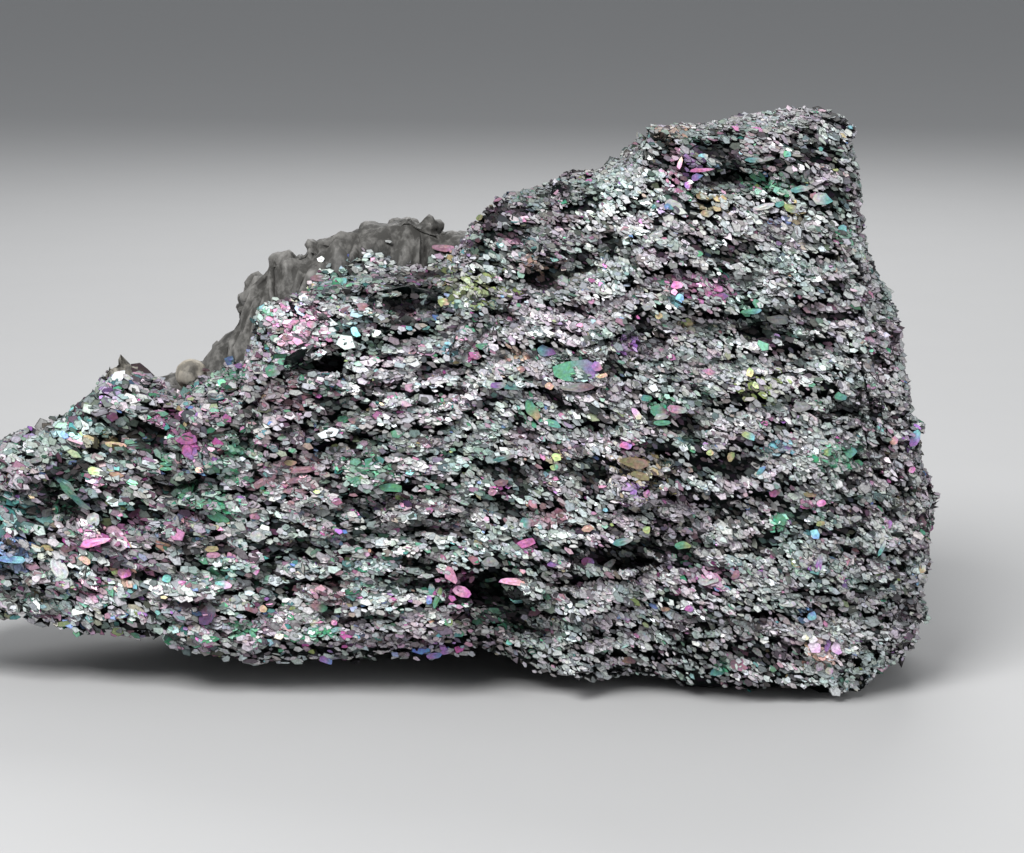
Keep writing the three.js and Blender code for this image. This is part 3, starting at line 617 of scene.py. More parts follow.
@lru_cache(maxsize=1)
def body_surface():
    """The body's fine surface in millimetres: the solid, cut finer and rounded, then pushed a little in under
    the plates, and in and out by creased lumps where there is crust. The flat base stays flat."""
    settings = bpy.context.scene.specimen_body
    corners, faces = merged_solid()
    for _ in range(CUTS):
        corners, faces = halved(corners, faces)
    on_base = corners[:, 2] < 0.02
    smooth = relaxed(corners, faces, ROUNDINGS, 0.5)
    smooth[on_base] = corners[on_base]
    sharp = np.max([ball_share(corners, spot) for spot in SHARP_SPOTS], axis=0)
    smooth += (corners - smooth) * sharp[:, None]
    normals = corner_normals(smooth, faces)
    smooth[:, 2] += settings.top_rise * ramp(normals[:, 2], 0.1, 0.7) * ramp(smooth[:, 0], 20, 24)
    crust = crust_field(smooth)
    lumps = 2.6 * np.abs(noise(smooth, (1.1, 1.2, 1.5), 41)) - 0.8 + 0.4 * noise(smooth, 0.6, 42)
    lumps = np.tanh(lumps)
    push = crust * settings.crust_reach * lumps - (1 - crust) * settings.body_depth
    push *= ramp(smooth[:, 2], 0.0, 1.4) * (1 - ball_share(smooth, KNOB_SPOT))
    moved = smooth + normals * push[:, None]
    moved[:, 2] = np.maximum(moved[:, 2], 0.0)
    moved[on_base, 2] = 0.0
    return Surface(moved, faces, smooth, normals, crust, lumps)


# ---------------------------------------------------------------- meshes


def make_piece(name, corners, faces, colours=None, map_points=None, smooth=False):
    """A mesh object at the origin from corners in millimetres, with a colour for each corner."""
    mesh = bpy.data.meshes.new(name)
    mesh.vertices.add(len(corners))
    mesh.vertices.foreach_set("co", np.ascontiguousarray(corners * MM, np.float32).ravel())
    mesh.loops.add(faces.size)
    mesh.loops.foreach_set("vertex_index", np.ascontiguousarray(faces, np.int32).ravel())
    mesh.polygons.add(len(faces))
    mesh.polygons.foreach_set("loop_start", np.arange(0, faces.size, 3, dtype=np.int32))
    mesh.polygons.foreach_set("use_smooth", np.full(len(faces), smooth))
    mesh.update(calc_edges=True)
    if colours is not None:
        tint = mesh.attributes.new("tint", "FLOAT_COLOR", "POINT")
        tint.data.foreach_set("color", np.ascontiguousarray(colours, np.float32).ravel())
    if map_points is not None:
        layer = mesh.uv_layers.new(name=BAKE_MAP)
        layer.data.foreach_set("uv", np.ascontiguousarray(map_points, np.float32).ravel())
    mesh.validate()
    piece = bpy.data.objects.new(name, mesh)
    bpy.context.scene.collection.objects.link(piece)
    return piece


def sampled(surface, weights, count, rng):
    """Places spread evenly over the rounded solid by weight: steps of one size along the triangles' running
    total, each moved a little, and a random point in the triangle that it falls in."""
    total = np.cumsum(weights)
    steps = (np.arange(count) + rng.random(count)) / count * total[-1]
    chosen = np.minimum(np.searchsorted(total, steps), len(surface.faces) - 1)
    u, v = rng.random(count), rng.random(count)
    flip = u + v > 1
    u, v = np.where(flip, 1 - u, u), np.where(flip, 1 - v, v)
    shares = np.stack([1 - u - v, u, v], axis=1)
    picked = surface.faces[chosen]
    places = np.einsum("ij,ijk->ik", shares, surface.smooth[picked])
    return places, unit(np.einsum("ij,ijk->ik", shares, surface.normals[picked]))


def on_layers(surface, weights, count, rng):
    """Places for small plates, as many as count, and how long their roots are. More are drawn than needed,
    most of those in the slits between layers are left out, the rest are moved to where their layer stands,
    and each root reaches into the body."""
    body = bpy.context.scene.specimen_body
    drawn = 2 * count
    places, outward = sampled(surface, weights, drawn, rng)
    layers = layer_field(places)
    share = body.slit_share + (1 - body.slit_share) * ramp(layers, -0.45, 0.0)
    kept = np.flatnonzero(rng.random(drawn) < share)
    kept = rng.permutation(kept)[:count]
    out = body.layer_reach * layers[kept] - body.plate_depth + rng.uniform(-0.06, 0.12, len(kept))
    root = np.maximum(out + body.body_depth, 0) + rng.uniform(0.15, 0.35, len(kept))
    return places[kept] + outward[kept] * out[:, None], outward[kept], layers[kept], root


def turned(level, across, turn):
    """Each plate's two sides, turned in its plane: cosine of one and sine of the other."""
    cosine, sine = np.cos(turn)[:, None], np.sin(turn)[:, None]
    return cosine * level + sine * across, cosine * across - sine * level


def plate_frames(places, outward, settings, rng):
    """Each plate's facing, its long side and the side across. The facing is a sum of the surface's own
    direction, the level direction away from the specimen's middle plane, +Z and a random vector. The long
    side is level, then turned to run down as the layers do."""
    side = np.zeros_like(outward)
    side[:, 1] = 0.7 * np.tanh((places[:, 1] - 2) / 4)
    side[:, :2] += outward[:, :2]
    facing = 0.7 * outward + settings.level * unit(side) + settings.scatter * rng.normal(size=outward.shape)
    facing[:, 2] += settings.lift
    facing = unit(facing)
    level = np.cross((0.0, 0.0, 1.0), facing)
    level += 0.3 * np.abs(facing[:, 2:]) * np.array([1.0, 0.0, 0.0])
    level = unit(level)
    across = unit(np.cross(facing, level))
    x = places[:, 0]
    fall = (np.interp(x + 1, *zip(*LAYER_DROP)) - np.interp(x - 1, *zip(*LAYER_DROP))) / 2
    turn = np.arctan(fall) * facing[:, 1] + rng.normal(scale=0.25, size=len(outward))
    return facing, *turned(level, across, turn)


RING = 5
PLATE_TOP = np.array([[0, 1, 2], [0, 2, 3], [0, 3, 4]])
PLATE_SIDES = np.array([[k, RING, (k + 1) % RING] for k in range(RING)])
MAP_MIDDLE = (0.25, 0.5)  # of a plate's top, in its cell of the map
MAP_REACH = (0.2, 0.42)  # of its corners from there


def plate_corners(places, frames, half_length, half_width, root, rng):
    """Closed plates, one for each place: RING corners at even angles round the plate's ellipse, each moved
    in or out by up to a fifth, and one point at its root, sunk into the body."""
    facing, level, across = frames
    count = len(places)
    angle = np.arange(RING) * (2 * math.pi / RING) + rng.normal(scale=0.15, size=(count, RING))
    reach = 1 + rng.uniform(-0.2, 0.2, (count, RING))
    ring = (
        places[:, None]
        + (reach * np.cos(angle) * half_length[:, None])[:, :, None] * level[:, None]
        + (reach * np.sin(angle) * half_width[:, None])[:, :, None] * across[:, None]
    )
    sunk = places - facing * root[:, None]
    return np.concatenate([ring, sunk[:, None]], axis=1)


def repeated(shape, corners, count):
    """One plate's triangles again for each plate, with its own corners' numbers."""
    return (shape[None] + (np.arange(count) * corners)[:, None, None]).reshape(-1, 3)


def plate_map(ring_shares, tops, sides, around, count, cells):
    """Bake map: a square cell for each plate, its top in the left half and its sides in the right half. A
    plate's corners lie round its cell's middle at the given shares of the reach."""
    angle = np.arange(around) * (2 * math.pi / around)
    ring = np.stack([MAP_REACH[0] * np.cos(angle), MAP_REACH[1] * np.sin(angle)], axis=1)
    flat = np.concatenate([share * ring for share in ring_shares] + [np.zeros((2, 2))])
    top = (flat + MAP_MIDDLE)[tops]
    side = (flat + (1 - MAP_MIDDLE[0], MAP_MIDDLE[1]))[sides]
    cell = np.concatenate([top, side]).reshape(-1, 2)
    index = np.arange(count)
    origin = np.stack([index % cells, index // cells], axis=1)
    return ((cell[None] + origin[:, None]) / cells).reshape(-1, 2)


LARGE_RING = 9
LARGE_RINGS = (1.0, 0.8, 0.45)  # of a large plate's reach, from its rim inwards
LARGE_MAP_RINGS = (0.92, 0.74, 0.42)
HUB = LARGE_RING * len(LARGE_RINGS)
LARGE_CELLS = 24


def large_plate_faces():
    """A large plate's triangles: bands between its rings, a fan at its hub, and the sides to its root."""
    step = np.arange(LARGE_RING)
    after = (step + 1) % LARGE_RING
    tops = []
    for k in range(len(LARGE_RINGS) - 1):
        outer, inner = k * LARGE_RING, (k + 1) * LARGE_RING
        tops += [np.stack([outer + step, outer + after, inner + after], axis=1)]
        tops += [np.stack([outer + step, inner + after, inner + step], axis=1)]
    last = HUB - LARGE_RING
    tops += [np.stack([last + step, last + after, np.full(LARGE_RING, HUB)], axis=1)]
    return np.concatenate(tops), np.stack([step, np.full(LARGE_RING, HUB + 1), after], axis=1)


def large_plate_corners(places, frames, half_length, half_width, root, rng):
    """Closed larger plates: rings of corners on an uneven ellipse round a hub that stands a little proud,
    and one point at the root, sunk into the body."""
    facing, level, across = frames
    count = len(places)
    step = np.arange(LARGE_RING) + rng.uniform(-0.22, 0.22, (count, LARGE_RING))
    angle = step * (2 * math.pi / LARGE_RING)
    reach = 1 + rng.uniform(-0.22, 0.22, (count, LARGE_RING))
    along = (reach * np.cos(angle) * half_length[:, None])[:, :, None] * level[:, None]
    aside = (reach * np.sin(angle) * half_width[:, None])[:, :, None] * across[:, None]
    rings = [places[:, None] + share * (along + aside) for share in LARGE_RINGS]
    hub = places + facing * 0.04
    sunk = places - facing * root[:, None]
    corners = np.concatenate([*rings, hub[:, None], sunk[:, None]], axis=1)
    ends = [share * reach * np.cos(angle) for share in LARGE_RINGS]
    return corners, np.concatenate([*ends, np.zeros((count, 2))], axis=1)


# ---------------------------------------------------------------- colours of the plates


def stray_spots(rng, count):
    """Spots of tarnish all round the specimen: random middles in its box, each with a colour and a reach."""
    low, high = np.array(CAD_BOX[0]) / MM, np.array(CAD_BOX[1]) / MM
    middles = rng.uniform(low, high, (count, 3))
    names = rng.choice(list(TARNISH), count, p=tarnish_odds())
    return list(zip(names, middles, rng.uniform(1.0, 2.6, count)))


def tarnish_odds():
    """How often each colour of tarnish is drawn, as shares that add up to 1."""
    odds = {"green": 4, "teal": 2, "gold": 0.6, "peach": 0.4, "rose": 2, "pink": 3, "magenta": 2}
    share = np.array([odds.get(name, 0.9) for name in TARNISH], float)
    return share / share.sum()


def plate_tones(places, outward, layers, settings, rng):
    """Each bare plate's brightness: a skewed random tone, dark for some, times two noises that run down with
    the layers. It has painted shade in the gaps between layers and on top, painted light near the base,
    and follows TONE_SPOTS. A tanh keeps it under PALEST."""
    count = len(places)
    tone = settings.tone * np.exp(0.2 * rng.normal(size=count))
    tone *= np.where(rng.random(count) < settings.dark_share, 0.22, 1.0)
    broad = noise(dropped(places, 0.3), (7, 7, 2.6), 51)
    fine = noise(dropped(places, 0.6), (3, 3, 1.1), 55)
    tone *= np.exp(0.5 * broad + 0.35 * fine)
    # painted shade in the slits between layers
    tone *= 0.1 + 0.9 * ramp(layers, -0.7, 0.2)
    for gain, *spot in placed(TONE_SPOTS):
        tone *= 1 + (gain - 1) * spot_share(places, spot)
    # painted shade where the plates face up
    tone *= 1 - 0.5 * ramp(outward[:, 2], 0.3, 0.9)
    # painted light near the base
    tone *= 1 + 0.7 * (1 - ramp(places[:, 2], 1, 7))
    return PALEST * np.tanh(np.maximum(tone, DARKEST) / PALEST)


def plate_tints(places, outward, layers, settings, rng):
    """Each plate's colour and dullness. A bare plate is grey, faintly green here and faintly pink there, the
    darker ones more so. Near a spot of tarnish most plates take its colour, and some stray ones take any.
    Most take little of it and a few a lot."""
    count = len(places)
    tone = plate_tones(places, outward, layers, settings, rng)
    names = list(TARNISH)
    palette = np.array([TARNISH[name] for name in names])
    colour = np.full(count, -1)
    narrow = ramp(-places[:, 0], -30, 30)
    strength = 0.1 + 0.9 * rng.random(count) ** (3.8 - 2.0 * narrow)
    stray = rng.random(count) < settings.tarnished * (0.9 + 2.4 * narrow)
    colour[stray] = rng.choice(len(names), stray.sum(), p=tarnish_odds())
    for name, middle, reach in stray_spots(rng, 90):
        far = np.linalg.norm((places - middle) / (reach, reach, 0.6 * reach), axis=1)
        near = rng.random(count) < 0.55 * np.exp(-(far**3))
        colour[near] = names.index(name)
        strength[near] = 0.1 + 0.9 * rng.random(near.sum()) ** 2.2
    for name, *spot in placed(TARNISH_SPOTS):
        near = rng.random(count) < settings.spot_share * spot_share(places, spot)
        colour[near] = names.index(name)
        strength[near] = 0.15 + 0.85 * rng.random(near.sum()) ** 1.2
    cast = (0.6 * noise(places, 6.5, 52) + noise(places, (2.0, 2.0, 1.0), 53))[:, None]
    cast = cast * (-1.0, 1.0, 0.0) + np.abs(cast) * (0.0, 0.0, 0.45)
    cast = 0.075 * cast + rng.normal(scale=0.035, size=(count, 3))
    grey = tone[:, None] * (BARE / np.mean(BARE) + cast * np.minimum(0.6 / tone, 8)[:, None] ** 0.6)
    tinted = palette[np.maximum(colour, 0)] * (0.08 + 1.9 * tone[:, None])
    mix = np.where(colour >= 0, strength, 0.0)[:, None]
    rgb = (grey * (1 - mix) + tinted * mix) * (1 - 0.2 * mix)
    # painted highlights: a few plates get near-white or bright tarnish colours
    painted_glint = rng.random(count) < settings.painted_glints
    rgb[painted_glint] = np.where(mix[painted_glint] > 0, 0.2 + 1.5 * palette[np.maximum(colour[painted_glint], 0)], 0.82)
    return np.concatenate([np.clip(rgb, *COLOUR_RANGE), rng.random((count, 1))], axis=1)


def plate_length(x):
    """The middle length of the small plates at x, which shrinks to the blunt end."""
    settings = bpy.context.scene.specimen_plates
    return settings.fine_length + (settings.coarse_length - settings.fine_length) * ramp(-x, -12, 38)


def add_plates(name, places, outward, layers, root, settings, rng):
    """Pieces of small plates, as few as keep each under its limit."""
    x = places[:, 0]
    half_length = plate_length(x) * np.exp(0.3 * rng.normal(size=len(x))) / 2
    half_width = half_length * rng.uniform(0.35, 0.7, len(x))
    frames = plate_frames(places, outward, settings, rng)
    corners = plate_corners(places, frames, half_length, half_width, root, rng)
    corners[:, :, 2] = np.maximum(corners[:, :, 2], LOWEST)
    tint = plate_tints(places, outward, layers, settings, rng)
    colours = np.repeat(tint[:, None], RING + 1, axis=1)
    # painted shade at each plate's root, which darkens its sides
    colours[:, RING, :3] *= ROOT_SHADE
    order = rng.permutation(len(x))
    parts = int(math.ceil(len(x) / MOST_PLATES))
    for index, chosen in enumerate(np.array_split(order, parts)):
        piece = make_piece(
            f"{name}_{index + 1}",
            corners[chosen].reshape(-1, 3),
            repeated(np.concatenate([PLATE_TOP, PLATE_SIDES]), RING + 1, len(chosen)),
            colours[chosen].reshape(-1, 4),
            plate_map((1.0,), PLATE_TOP, PLATE_SIDES, RING, len(chosen), MAP_CELLS),
        )
        piece.data.materials.append(plate_finish(MAP_CELLS))
        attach(piece, BODY)


# ---------------------------------------------------------------- materials


class Tree:
    """Short calls for a material's nodes and links."""

    def __init__(self, name):
        self.material = bpy.data.materials.new(name)
        self.material.use_nodes = True
        self.nodes = self.material.node_tree.nodes
        self.links = self.material.node_tree.links
        self.shader = self.nodes["Principled BSDF"]

    def add(self, kind, **values):
        """A node of a kind, with the values given to its own settings or else to its sockets."""
        node = self.nodes.new(kind)
        for key, value in values.items():
            if hasattr(node, key):
                setattr(node, key, value)
            else:
                node.inputs[key.replace("_", " ")].default_value = value
        return node

    def join(self, out, into):
        """A link from one socket to another."""
        self.links.new(out, into)

    def place(self):
        """Object coordinates, which stay with the surface."""
        return self.add("ShaderNodeTexCoord").outputs["Object"]

    def noise(self, scale, detail=3.0, roughness=0.55, stretch=(1, 1, 1)):
        """Noise of a scale over Object coordinates, which may be stretched first."""
        node = self.add("ShaderNodeTexNoise", Scale=scale, Detail=detail, Roughness=roughness)
        self.join(self.vector("MULTIPLY", self.place(), stretch), node.inputs["Vector"])
        return node.outputs["Fac"]

    def spread(self, value, low, high, out_low, out_high):
        """A value carried from one range to another and kept in it."""
        node = self.add("ShaderNodeMapRange")
        for key, number in (("From Min", low), ("From Max", high), ("To Min", out_low), ("To Max", out_high)):
            node.inputs[key].default_value = number
        self.join(value, node.inputs["Value"])
        return node.outputs["Result"]

    def vector(self, operation, value, operand=None):
        """A vector operation on a value."""
        node = self.add("ShaderNodeVectorMath", operation=operation)
        self.join(value, node.inputs[0])
        if operand:
            node.inputs[1].default_value = operand
        return node.outputs["Value" if operation in ("LENGTH", "DOT_PRODUCT") else "Vector"]

    def plate_rim(self, cells, small):
        """0 at the middle of a plate's top, 1 at its rim and more on its sides, from its cell of the map: for
        a small plate the greatest reach across its straight sides, and otherwise the distance."""
        place = self.add("ShaderNodeUVMap", uv_map=BAKE_MAP).outputs["UV"]
        place = self.vector("FRACTION", self.vector("MULTIPLY", place, (cells, cells, 0)))
        place = self.vector("SUBTRACT", place, (*MAP_MIDDLE, 0))
        place = self.vector("DIVIDE", place, (*MAP_REACH, 1))
        if not small:
            return self.vector("LENGTH", place)
        furthest = None
        for k in range(RING):
            angle = (2 * k + 1) * math.pi / RING
            across = (math.cos(angle), math.sin(angle), 0)
            reach = self.vector("DOT_PRODUCT", place, tuple(c / math.cos(math.pi / RING) for c in across))
            furthest = reach if furthest is None else self.maths("MAXIMUM", furthest, reach)
        return furthest

    def blend(self, factor, *colours):
        """A mix of two colours, each of them a socket or three numbers."""
        node = self.add("ShaderNodeMix", data_type="RGBA")
        self.join(factor, node.inputs["Factor"])
        for colour, name in zip(colours, "AB"):
            if isinstance(colour, bpy.types.NodeSocket):
                self.join(colour, node.inputs[name])
            else:
                node.inputs[name].default_value = (*colour, 1)
        return node.outputs["Result"]

    def maths(self, operation, first, second, clamp=False):
        """Two values put together by a plain operation."""
        node = self.add("ShaderNodeMath", operation=operation, use_clamp=clamp)
        self.join(first, node.inputs[0])
        self.join(second, node.inputs[1])
        return node.outputs["Value"]

    def bump(self, height, strength, distance):
        """A fine relief on the finished shader, from a height."""
        node = self.add("ShaderNodeBump", Strength=strength, Distance=distance)
        self.join(height, node.inputs["Height"])
        self.join(node.outputs["Normal"], self.shader.inputs["Normal"])


@lru_cache(maxsize=2)
def plate_finish(cells):
    """Bright semi-metallic plates: their own colour, its hue drifting across each plate, painted shade at its
    rim and on its sides, a little grime, and fine growth steps."""
    settings = bpy.context.scene.specimen_plates
    tree = Tree("plate_lustre")
    tint = tree.add("ShaderNodeAttribute", attribute_name="tint")
    hue = tree.add("ShaderNodeHueSaturation", Saturation=1.0)
    drift = tree.spread(tree.noise(2600.0, 2.0), 0.25, 0.75, 0.45, 0.55)
    tree.join(drift, hue.inputs["Hue"])
    grime = tree.spread(tree.noise(3600.0, 4.0, 0.7), 0.3, 0.7, 0.55, 1.2)
    # painted shade: each plate darkens towards its rim, and more on its sides
    rim = tree.spread(tree.plate_rim(cells, cells == MAP_CELLS), 0.84, 1.0, 1.0, settings.rim)
    tree.join(tree.maths("MULTIPLY", grime, rim), hue.inputs["Value"])
    tree.join(tint.outputs["Color"], hue.inputs["Color"])
    tree.join(hue.outputs["Color"], tree.shader.inputs["Base Color"])
    dull = tree.spread(tint.outputs["Alpha"], 0.0, 1.0, 0.4, 0.64)
    tree.join(dull, tree.shader.inputs["Roughness"])
    tree.shader.inputs["Metallic"].default_value = 0.35
    tree.shader.inputs["Specular IOR Level"].default_value = 0.35
    tree.bump(tree.noise(9000.0, 3.0), 0.25, 0.00003)
    return tree.material


@lru_cache(maxsize=1)
def body_finish():
    """Near-black in the gaps between plates, and mottled grey-brown and waxy on the crust, with painted
    highlights on the tops of its lumps and painted shade in its creases.
    """
    settings = bpy.context.scene.specimen_body
    tree = Tree("dark_body")
    tint = tree.add("ShaderNodeAttribute", attribute_name="tint")
    split = tree.add("ShaderNodeSeparateColor")
    tree.join(tint.outputs["Color"], split.inputs["Color"])
    red, green, blue = (split.outputs[name] for name in ("Red", "Green", "Blue"))
    specks = tree.spread(tree.noise(1500.0, 5.0), 0.52, 0.72, 0.0, 1.0)
    gap = tree.blend(specks, settings.gap_colour, GAP_SPECKS)
    upright = tree.spread(tree.noise(1300.0, 5.0, 0.6, (1, 1, 0.6)), 0.42, 0.68, 0.0, 0.75)
    # painted highlights on the crust's lumps and painted shade in its creases, with upright streaks
    streaks_and_lump_light = tree.maths("ADD", tree.spread(blue, 0.45, 1.0, -0.15, 0.55), upright)
    raised = tree.maths("ADD", streaks_and_lump_light, tree.spread(green, 0.0, 1.0, 0.0, 0.65), clamp=True)
    pale = tree.blend(green, settings.crust_pale, settings.knob_colour)
    crust = tree.blend(raised, settings.crust_dark, pale)
    tree.join(tree.blend(red, gap, crust), tree.shader.inputs["Base Color"])
    tree.join(tree.spread(tree.noise(900.0, 4.0), 0.3, 0.7, 0.32, 0.55), tree.shader.inputs["Roughness"])
    tree.shader.inputs["Specular IOR Level"].default_value = 0.1
    tree.bump(tree.noise(2400.0, 6.0), 0.5, 0.00012)
    return tree.material


# ---------------------------------------------------------------- operators


class SPECIMEN_OT_body(bpy.types.Operator):
    """Make the dark body with its layers and its crust, in place of the plain solid"""

    bl_idname = "specimen.body"
    bl_label = "Body and crust"

    def execute(self, context):
        surface = body_surface()
        pale = np.maximum(ball_share(surface.smooth, KNOB_SPOT), 0.5 * ball_share(surface.smooth, PEAK_SPOT))
        # tint: crust share, paleness of the knob and peak, and lump height for painted highlights and shade
        # on the crust
        colours = np.stack([surface.crust, pale, ramp(surface.lumps, -1, 1), np.ones(len(pale))], axis=1)
        piece = make_piece("body", surface.corners, surface.faces, colours, smooth=True)
        piece.data.materials.append(body_finish())
        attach(piece, BODY)
        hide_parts(NODE)
        return {"FINISHED"}


def plate_weights(surface, face_side):
    """How many plates each triangle should have: its area, times a share that is low under overhangs, on the
    crust, by the base and where the plates are large. The face side looks towards -Y or up."""
    faces = surface.faces
    a, b, c = (surface.corners[faces[:, k]] for k in range(3))
    area = np.linalg.norm(np.cross(b - a, c - a), axis=1) / 2
    middle = (a + b + c) / 3
    outward = unit(surface.normals[faces].sum(axis=1))
    density = 0.12 + 0.88 * ramp(outward[:, 2], -0.75, -0.1)
    density *= 1 - ramp(surface.crust[faces].mean(axis=1), 0.3, 0.7)
    density *= 1 - np.maximum(ball_share(middle, KNOB_SPOT), ball_share(middle, PEAK_SPOT))
    density *= (middle[:, 2] > 0.3) / plate_length(middle[:, 0]) ** 1.3
    seen = (outward[:, 1] < 0.1) | (middle[:, 1] < -6)
    return area * density * (seen if face_side else ~seen)


class SPECIMEN_OT_small_plates(bpy.types.Operator):
    """Cover the body with small plates, finer and closer on the face than behind"""

    bl_idname = "specimen.small_plates"
    bl_label = "Small plates"

    def execute(self, context):
        settings = context.scene.specimen_plates
        surface = body_surface()
        for name, face_side, count, seed in (
            ("face_plates", True, settings.face_count, 5),
            ("back_plates", False, settings.back_count, 6),
        ):
            rng = np.random.default_rng(seed)
            places, outward, layers, root = on_layers(surface, plate_weights(surface, face_side), count, rng)
            add_plates(name, places, outward, layers, root, settings, rng)
        return {"FINISHED"}


def large_plate_list(surface, rng):
    """Places and sizes of the larger plates: those of FRONT_PLATES, each brought from the solid onto the
    rounded surface along SLOPE, and stray ones all round."""
    settings = bpy.context.scene.specimen_plates
    tree = BVHTree.FromPolygons(surface.smooth.tolist(), surface.faces.tolist())
    look = Vector((0, math.cos(SLOPE), -math.sin(SLOPE)))
    rise = Vector((0, math.sin(SLOPE), math.cos(SLOPE)))
    rows = []
    for plate in FRONT_PLATES:
        place, nearness = front_hit(plate.across, plate.down)
        x, seen_height = round(place.x, 1), round(place.dot(rise), 1)
        half_length = round(plate.length * nearness * STEP, 1) / 2
        half_width = round(plate.width * nearness * STEP, 1) / 2
        hit, normal, _, _ = tree.ray_cast(Vector((x, 0, 0)) + rise * seen_height - look * 100, look)
        if hit:
            facing = 0.3 * normal - look
            turn = math.radians(plate.turn)
            rows.append((*hit, *facing, half_length, half_width, turn, plate.shine, plate.left, plate.right))
    weights = plate_weights(surface, True) + plate_weights(surface, False)
    places, outward = sampled(surface, weights, settings.stray_count, rng)
    facings, _, _ = plate_frames(places, outward, settings, rng)
    names = list(TARNISH)
    for place, facing in zip(places, facings):
        half = rng.uniform(0.5, 0.95)
        tarnished = rng.random() < 0.25
        pair = rng.choice(names, 2, p=tarnish_odds()) if tarnished else ("grey", "grey")
        half_width, turn, shine = half * rng.uniform(0.4, 0.7), rng.normal(0, 0.3), rng.uniform(0.5, 1.2)
        rows.append((*place, *facing, half, half_width, turn, shine, *pair))
    return rows


class SPECIMEN_OT_large_plates(bpy.types.Operator):
    """Add the larger plates with their bands of colour"""

    bl_idname = "specimen.large_plates"
    bl_label = "Large plates"

    def execute(self, context):
        rng = np.random.default_rng(7)
        rows = large_plate_list(body_surface(), rng)
        numbers = np.array([row[:10] for row in rows], float)
        facing = unit(numbers[:, 3:6] + rng.normal(scale=0.06, size=(len(rows), 3)))
        half_length, half_width, turn, shine = numbers[:, 6:10].T
        level = unit(np.cross((0.0, 0.0, 1.0), facing) + (1e-6, 0, 0))
        across = np.cross(facing, level)
        frames = (facing, *turned(level, across, turn))
        proud = 0.02 + 0.04 * half_length + 0.1 * np.maximum(shine - 1, 0) + 0.05 * (np.arange(len(rows)) % 6)
        places = numbers[:, :3] + facing * proud[:, None]
        root = 0.9 + 0.2 * half_length
        corners, end = large_plate_corners(places, frames, half_length, half_width, root, rng)
        corners[:, :, 2] = np.maximum(corners[:, :, 2], LOWEST)
        palette = {**TARNISH, "grey": BARE}
        first, second = (np.array([palette[row[k]] for row in rows])[:, None] for k in (10, 11))
        share = ramp(end, -0.3, 0.7)[:, :, None]
        rgb = (first * (1 - share) + second * share) * 0.8 + 0.2 * BARE
        # painted highlights: a shine over 1 brightens the plate's colour, and one under 1 darkens it
        rgb *= 0.85 * shine[:, None, None]
        rgb *= 1 + rng.normal(scale=0.07, size=rgb.shape)
        # painted shade at each large plate's root, which darkens its sides
        rgb[:, HUB + 1] *= ROOT_SHADE
        dull = np.broadcast_to(rng.random((len(rows), 1, 1)), (*rgb.shape[:2], 1))
        colours = np.concatenate([np.clip(rgb, *COLOUR_RANGE), dull], axis=2)
        tops, sides = large_plate_faces()
        piece = make_piece(
            "large_plates",
            corners.reshape(-1, 3),
            repeated(np.concatenate([tops, sides]), HUB + 2, len(rows)),
            colours.reshape(-1, 4),
            plate_map(LARGE_MAP_RINGS, tops, sides, LARGE_RING, len(rows), LARGE_CELLS),
        )
        piece.data.materials.append(plate_finish(LARGE_CELLS))
        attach(piece, BODY)
        return {"FINISHED"}


def add_light(name, place, target, power, size):
    """A square area light at a place, turned to a target."""
    data = bpy.data.lights.new(name, "AREA")
    data.energy = power
    data.size = size
    light = bpy.data.objects.new(name, data)
    light.location = place
    light.rotation_euler = (Vector(target) - Vector(place)).to_track_quat("-Z", "Y").to_euler()
    bpy.context.scene.collection.objects.link(light)


class SPECIMEN_OT_stage(bpy.types.Operator):
    """Set up the camera, the soft lights and the pale floor"""

    bl_idname = "specimen.stage"
    bl_label = "Stage"

    def execute(self, context):
        settings = context.scene.specimen_stage
        scene = context.scene
        aim = Vector(settings.aim)
        away = Vector((0, -math.cos(settings.elevation), math.sin(settings.elevation)))
        data = bpy.data.cameras.new("camera")
        data.lens = settings.lens
        data.sensor_width = VIEW_SENSOR
        data.clip_start = 0.01
        camera = bpy.data.objects.new("camera", data)
        camera.location = aim + away * settings.distance
        camera.rotation_euler = (-away).to_track_quat("-Z", "Y").to_euler()
        scene.collection.objects.link(camera)
        scene.camera = camera
        add_light("key", (-0.16, -0.29, 0.4), (0, 0, 0.03), settings.key_power, 0.22)
        add_light("fill", (0.34, -0.22, 0.16), (0.01, 0, 0.03), settings.fill_power, 0.2)
        add_light("back", (0.05, 0.36, 0.34), (0, 0, 0.03), settings.back_power, 0.3)
        world = bpy.data.worlds.new("room")
        world.use_nodes = True
        background = world.node_tree.nodes["Background"]
        background.inputs["Color"].default_value = (0.93, 0.96, 1.0, 1)
        background.inputs["Strength"].default_value = settings.surround
        scene.world = world
        scene.view_settings.view_transform = "Standard"
        add_floor(settings)
        return {"FINISHED"}


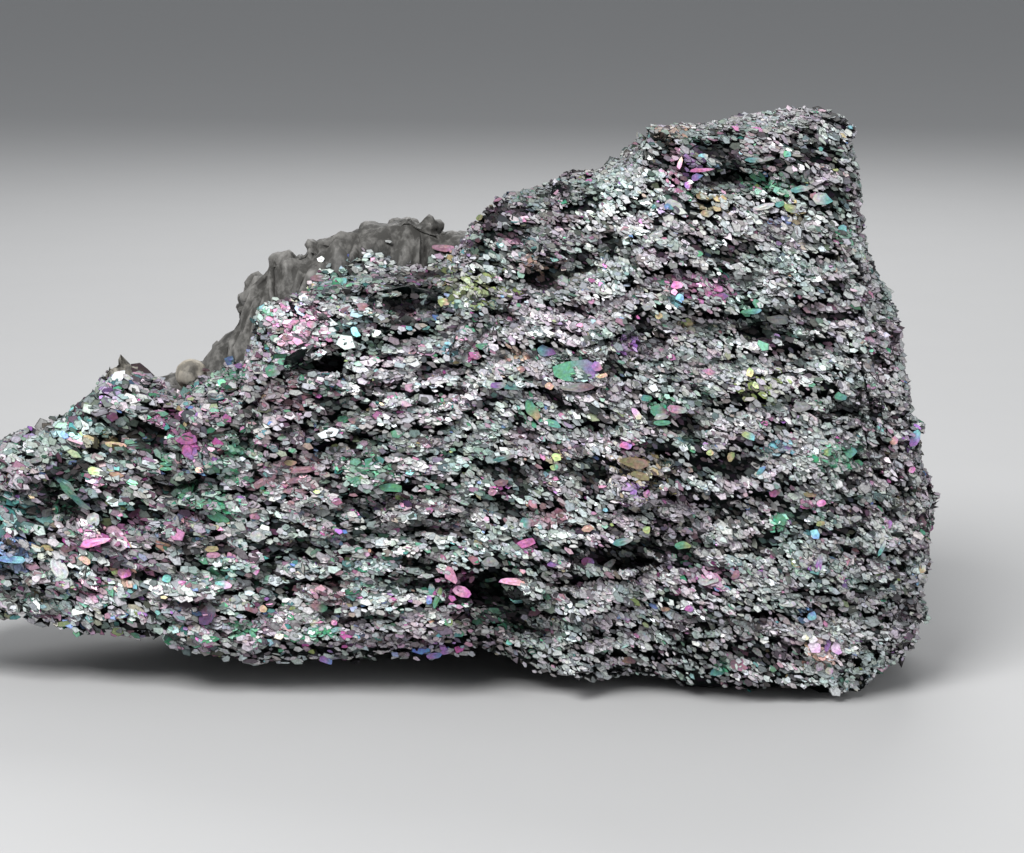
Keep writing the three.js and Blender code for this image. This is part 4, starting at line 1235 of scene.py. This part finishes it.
def add_floor(settings):
    """A round floor: rings of points at growing distance, closed at the middle."""
    rings, around = 12, 64
    radius = 4.0 * (np.arange(1, rings + 1) / rings) ** 2
    angle = np.arange(around) * (2 * math.pi / around)
    ring = np.stack([np.cos(angle), np.sin(angle), np.zeros(around)], axis=1)
    corners = np.concatenate([[[0, 0, 0]], (radius[:, None, None] * ring[None]).reshape(-1, 3)])
    step = np.arange(around)
    after = (step + 1) % around
    faces = [np.stack([np.zeros(around, int), 1 + step, 1 + after], axis=1)]
    for k in range(rings - 1):
        inner, outer = 1 + k * around, 1 + (k + 1) * around
        faces.append(np.stack([inner + step, outer + step, outer + after], axis=1))
        faces.append(np.stack([inner + step, outer + after, inner + after], axis=1))
    floor = make_piece("floor", corners / MM, np.concatenate(faces))
    tree = Tree("pale_floor")
    shade = [0.97 * part for part in settings.floor_colour]
    tree.join(tree.blend(tree.noise(60.0), settings.floor_colour, shade), tree.shader.inputs["Base Color"])
    tree.shader.inputs["Roughness"].default_value = 0.8
    floor.data.materials.append(tree.material)


class SPECIMEN_PT_panel(bpy.types.Panel):
    """The specimen's parts, in the 3D view's sidebar"""

    bl_label = "Crystal specimen"
    bl_idname = "SPECIMEN_PT_panel"
    bl_space_type = "VIEW_3D"
    bl_region_type = "UI"
    bl_category = "Specimen"

    def draw(self, context):
        for operator in OPERATORS:
            self.layout.operator(operator.bl_idname)


SETTINGS = (
    ("specimen_body", BodySettings),
    ("specimen_plates", PlateSettings),
    ("specimen_stage", StageSettings),
)
OPERATORS = (SPECIMEN_OT_stage, SPECIMEN_OT_body, SPECIMEN_OT_small_plates, SPECIMEN_OT_large_plates)


def register():
    """Register the settings, the operators and the panel."""
    for name, group in SETTINGS:
        bpy.utils.register_class(group)
        setattr(bpy.types.Scene, name, bpy.props.PointerProperty(type=group))
    for made in (*OPERATORS, SPECIMEN_PT_panel):
        bpy.utils.register_class(made)


def unregister():
    """Take them away again, last first."""
    for made in (SPECIMEN_PT_panel, *reversed(OPERATORS)):
        bpy.utils.unregister_class(made)
    for name, group in reversed(SETTINGS):
        delattr(bpy.types.Scene, name)
        bpy.utils.unregister_class(group)


def main():
    """Build the stage and every piece."""
    register()
    bpy.ops.specimen.stage()
    bpy.ops.specimen.body()
    bpy.ops.specimen.small_plates()
    bpy.ops.specimen.large_plates()


if __name__ == "__main__":
    main()
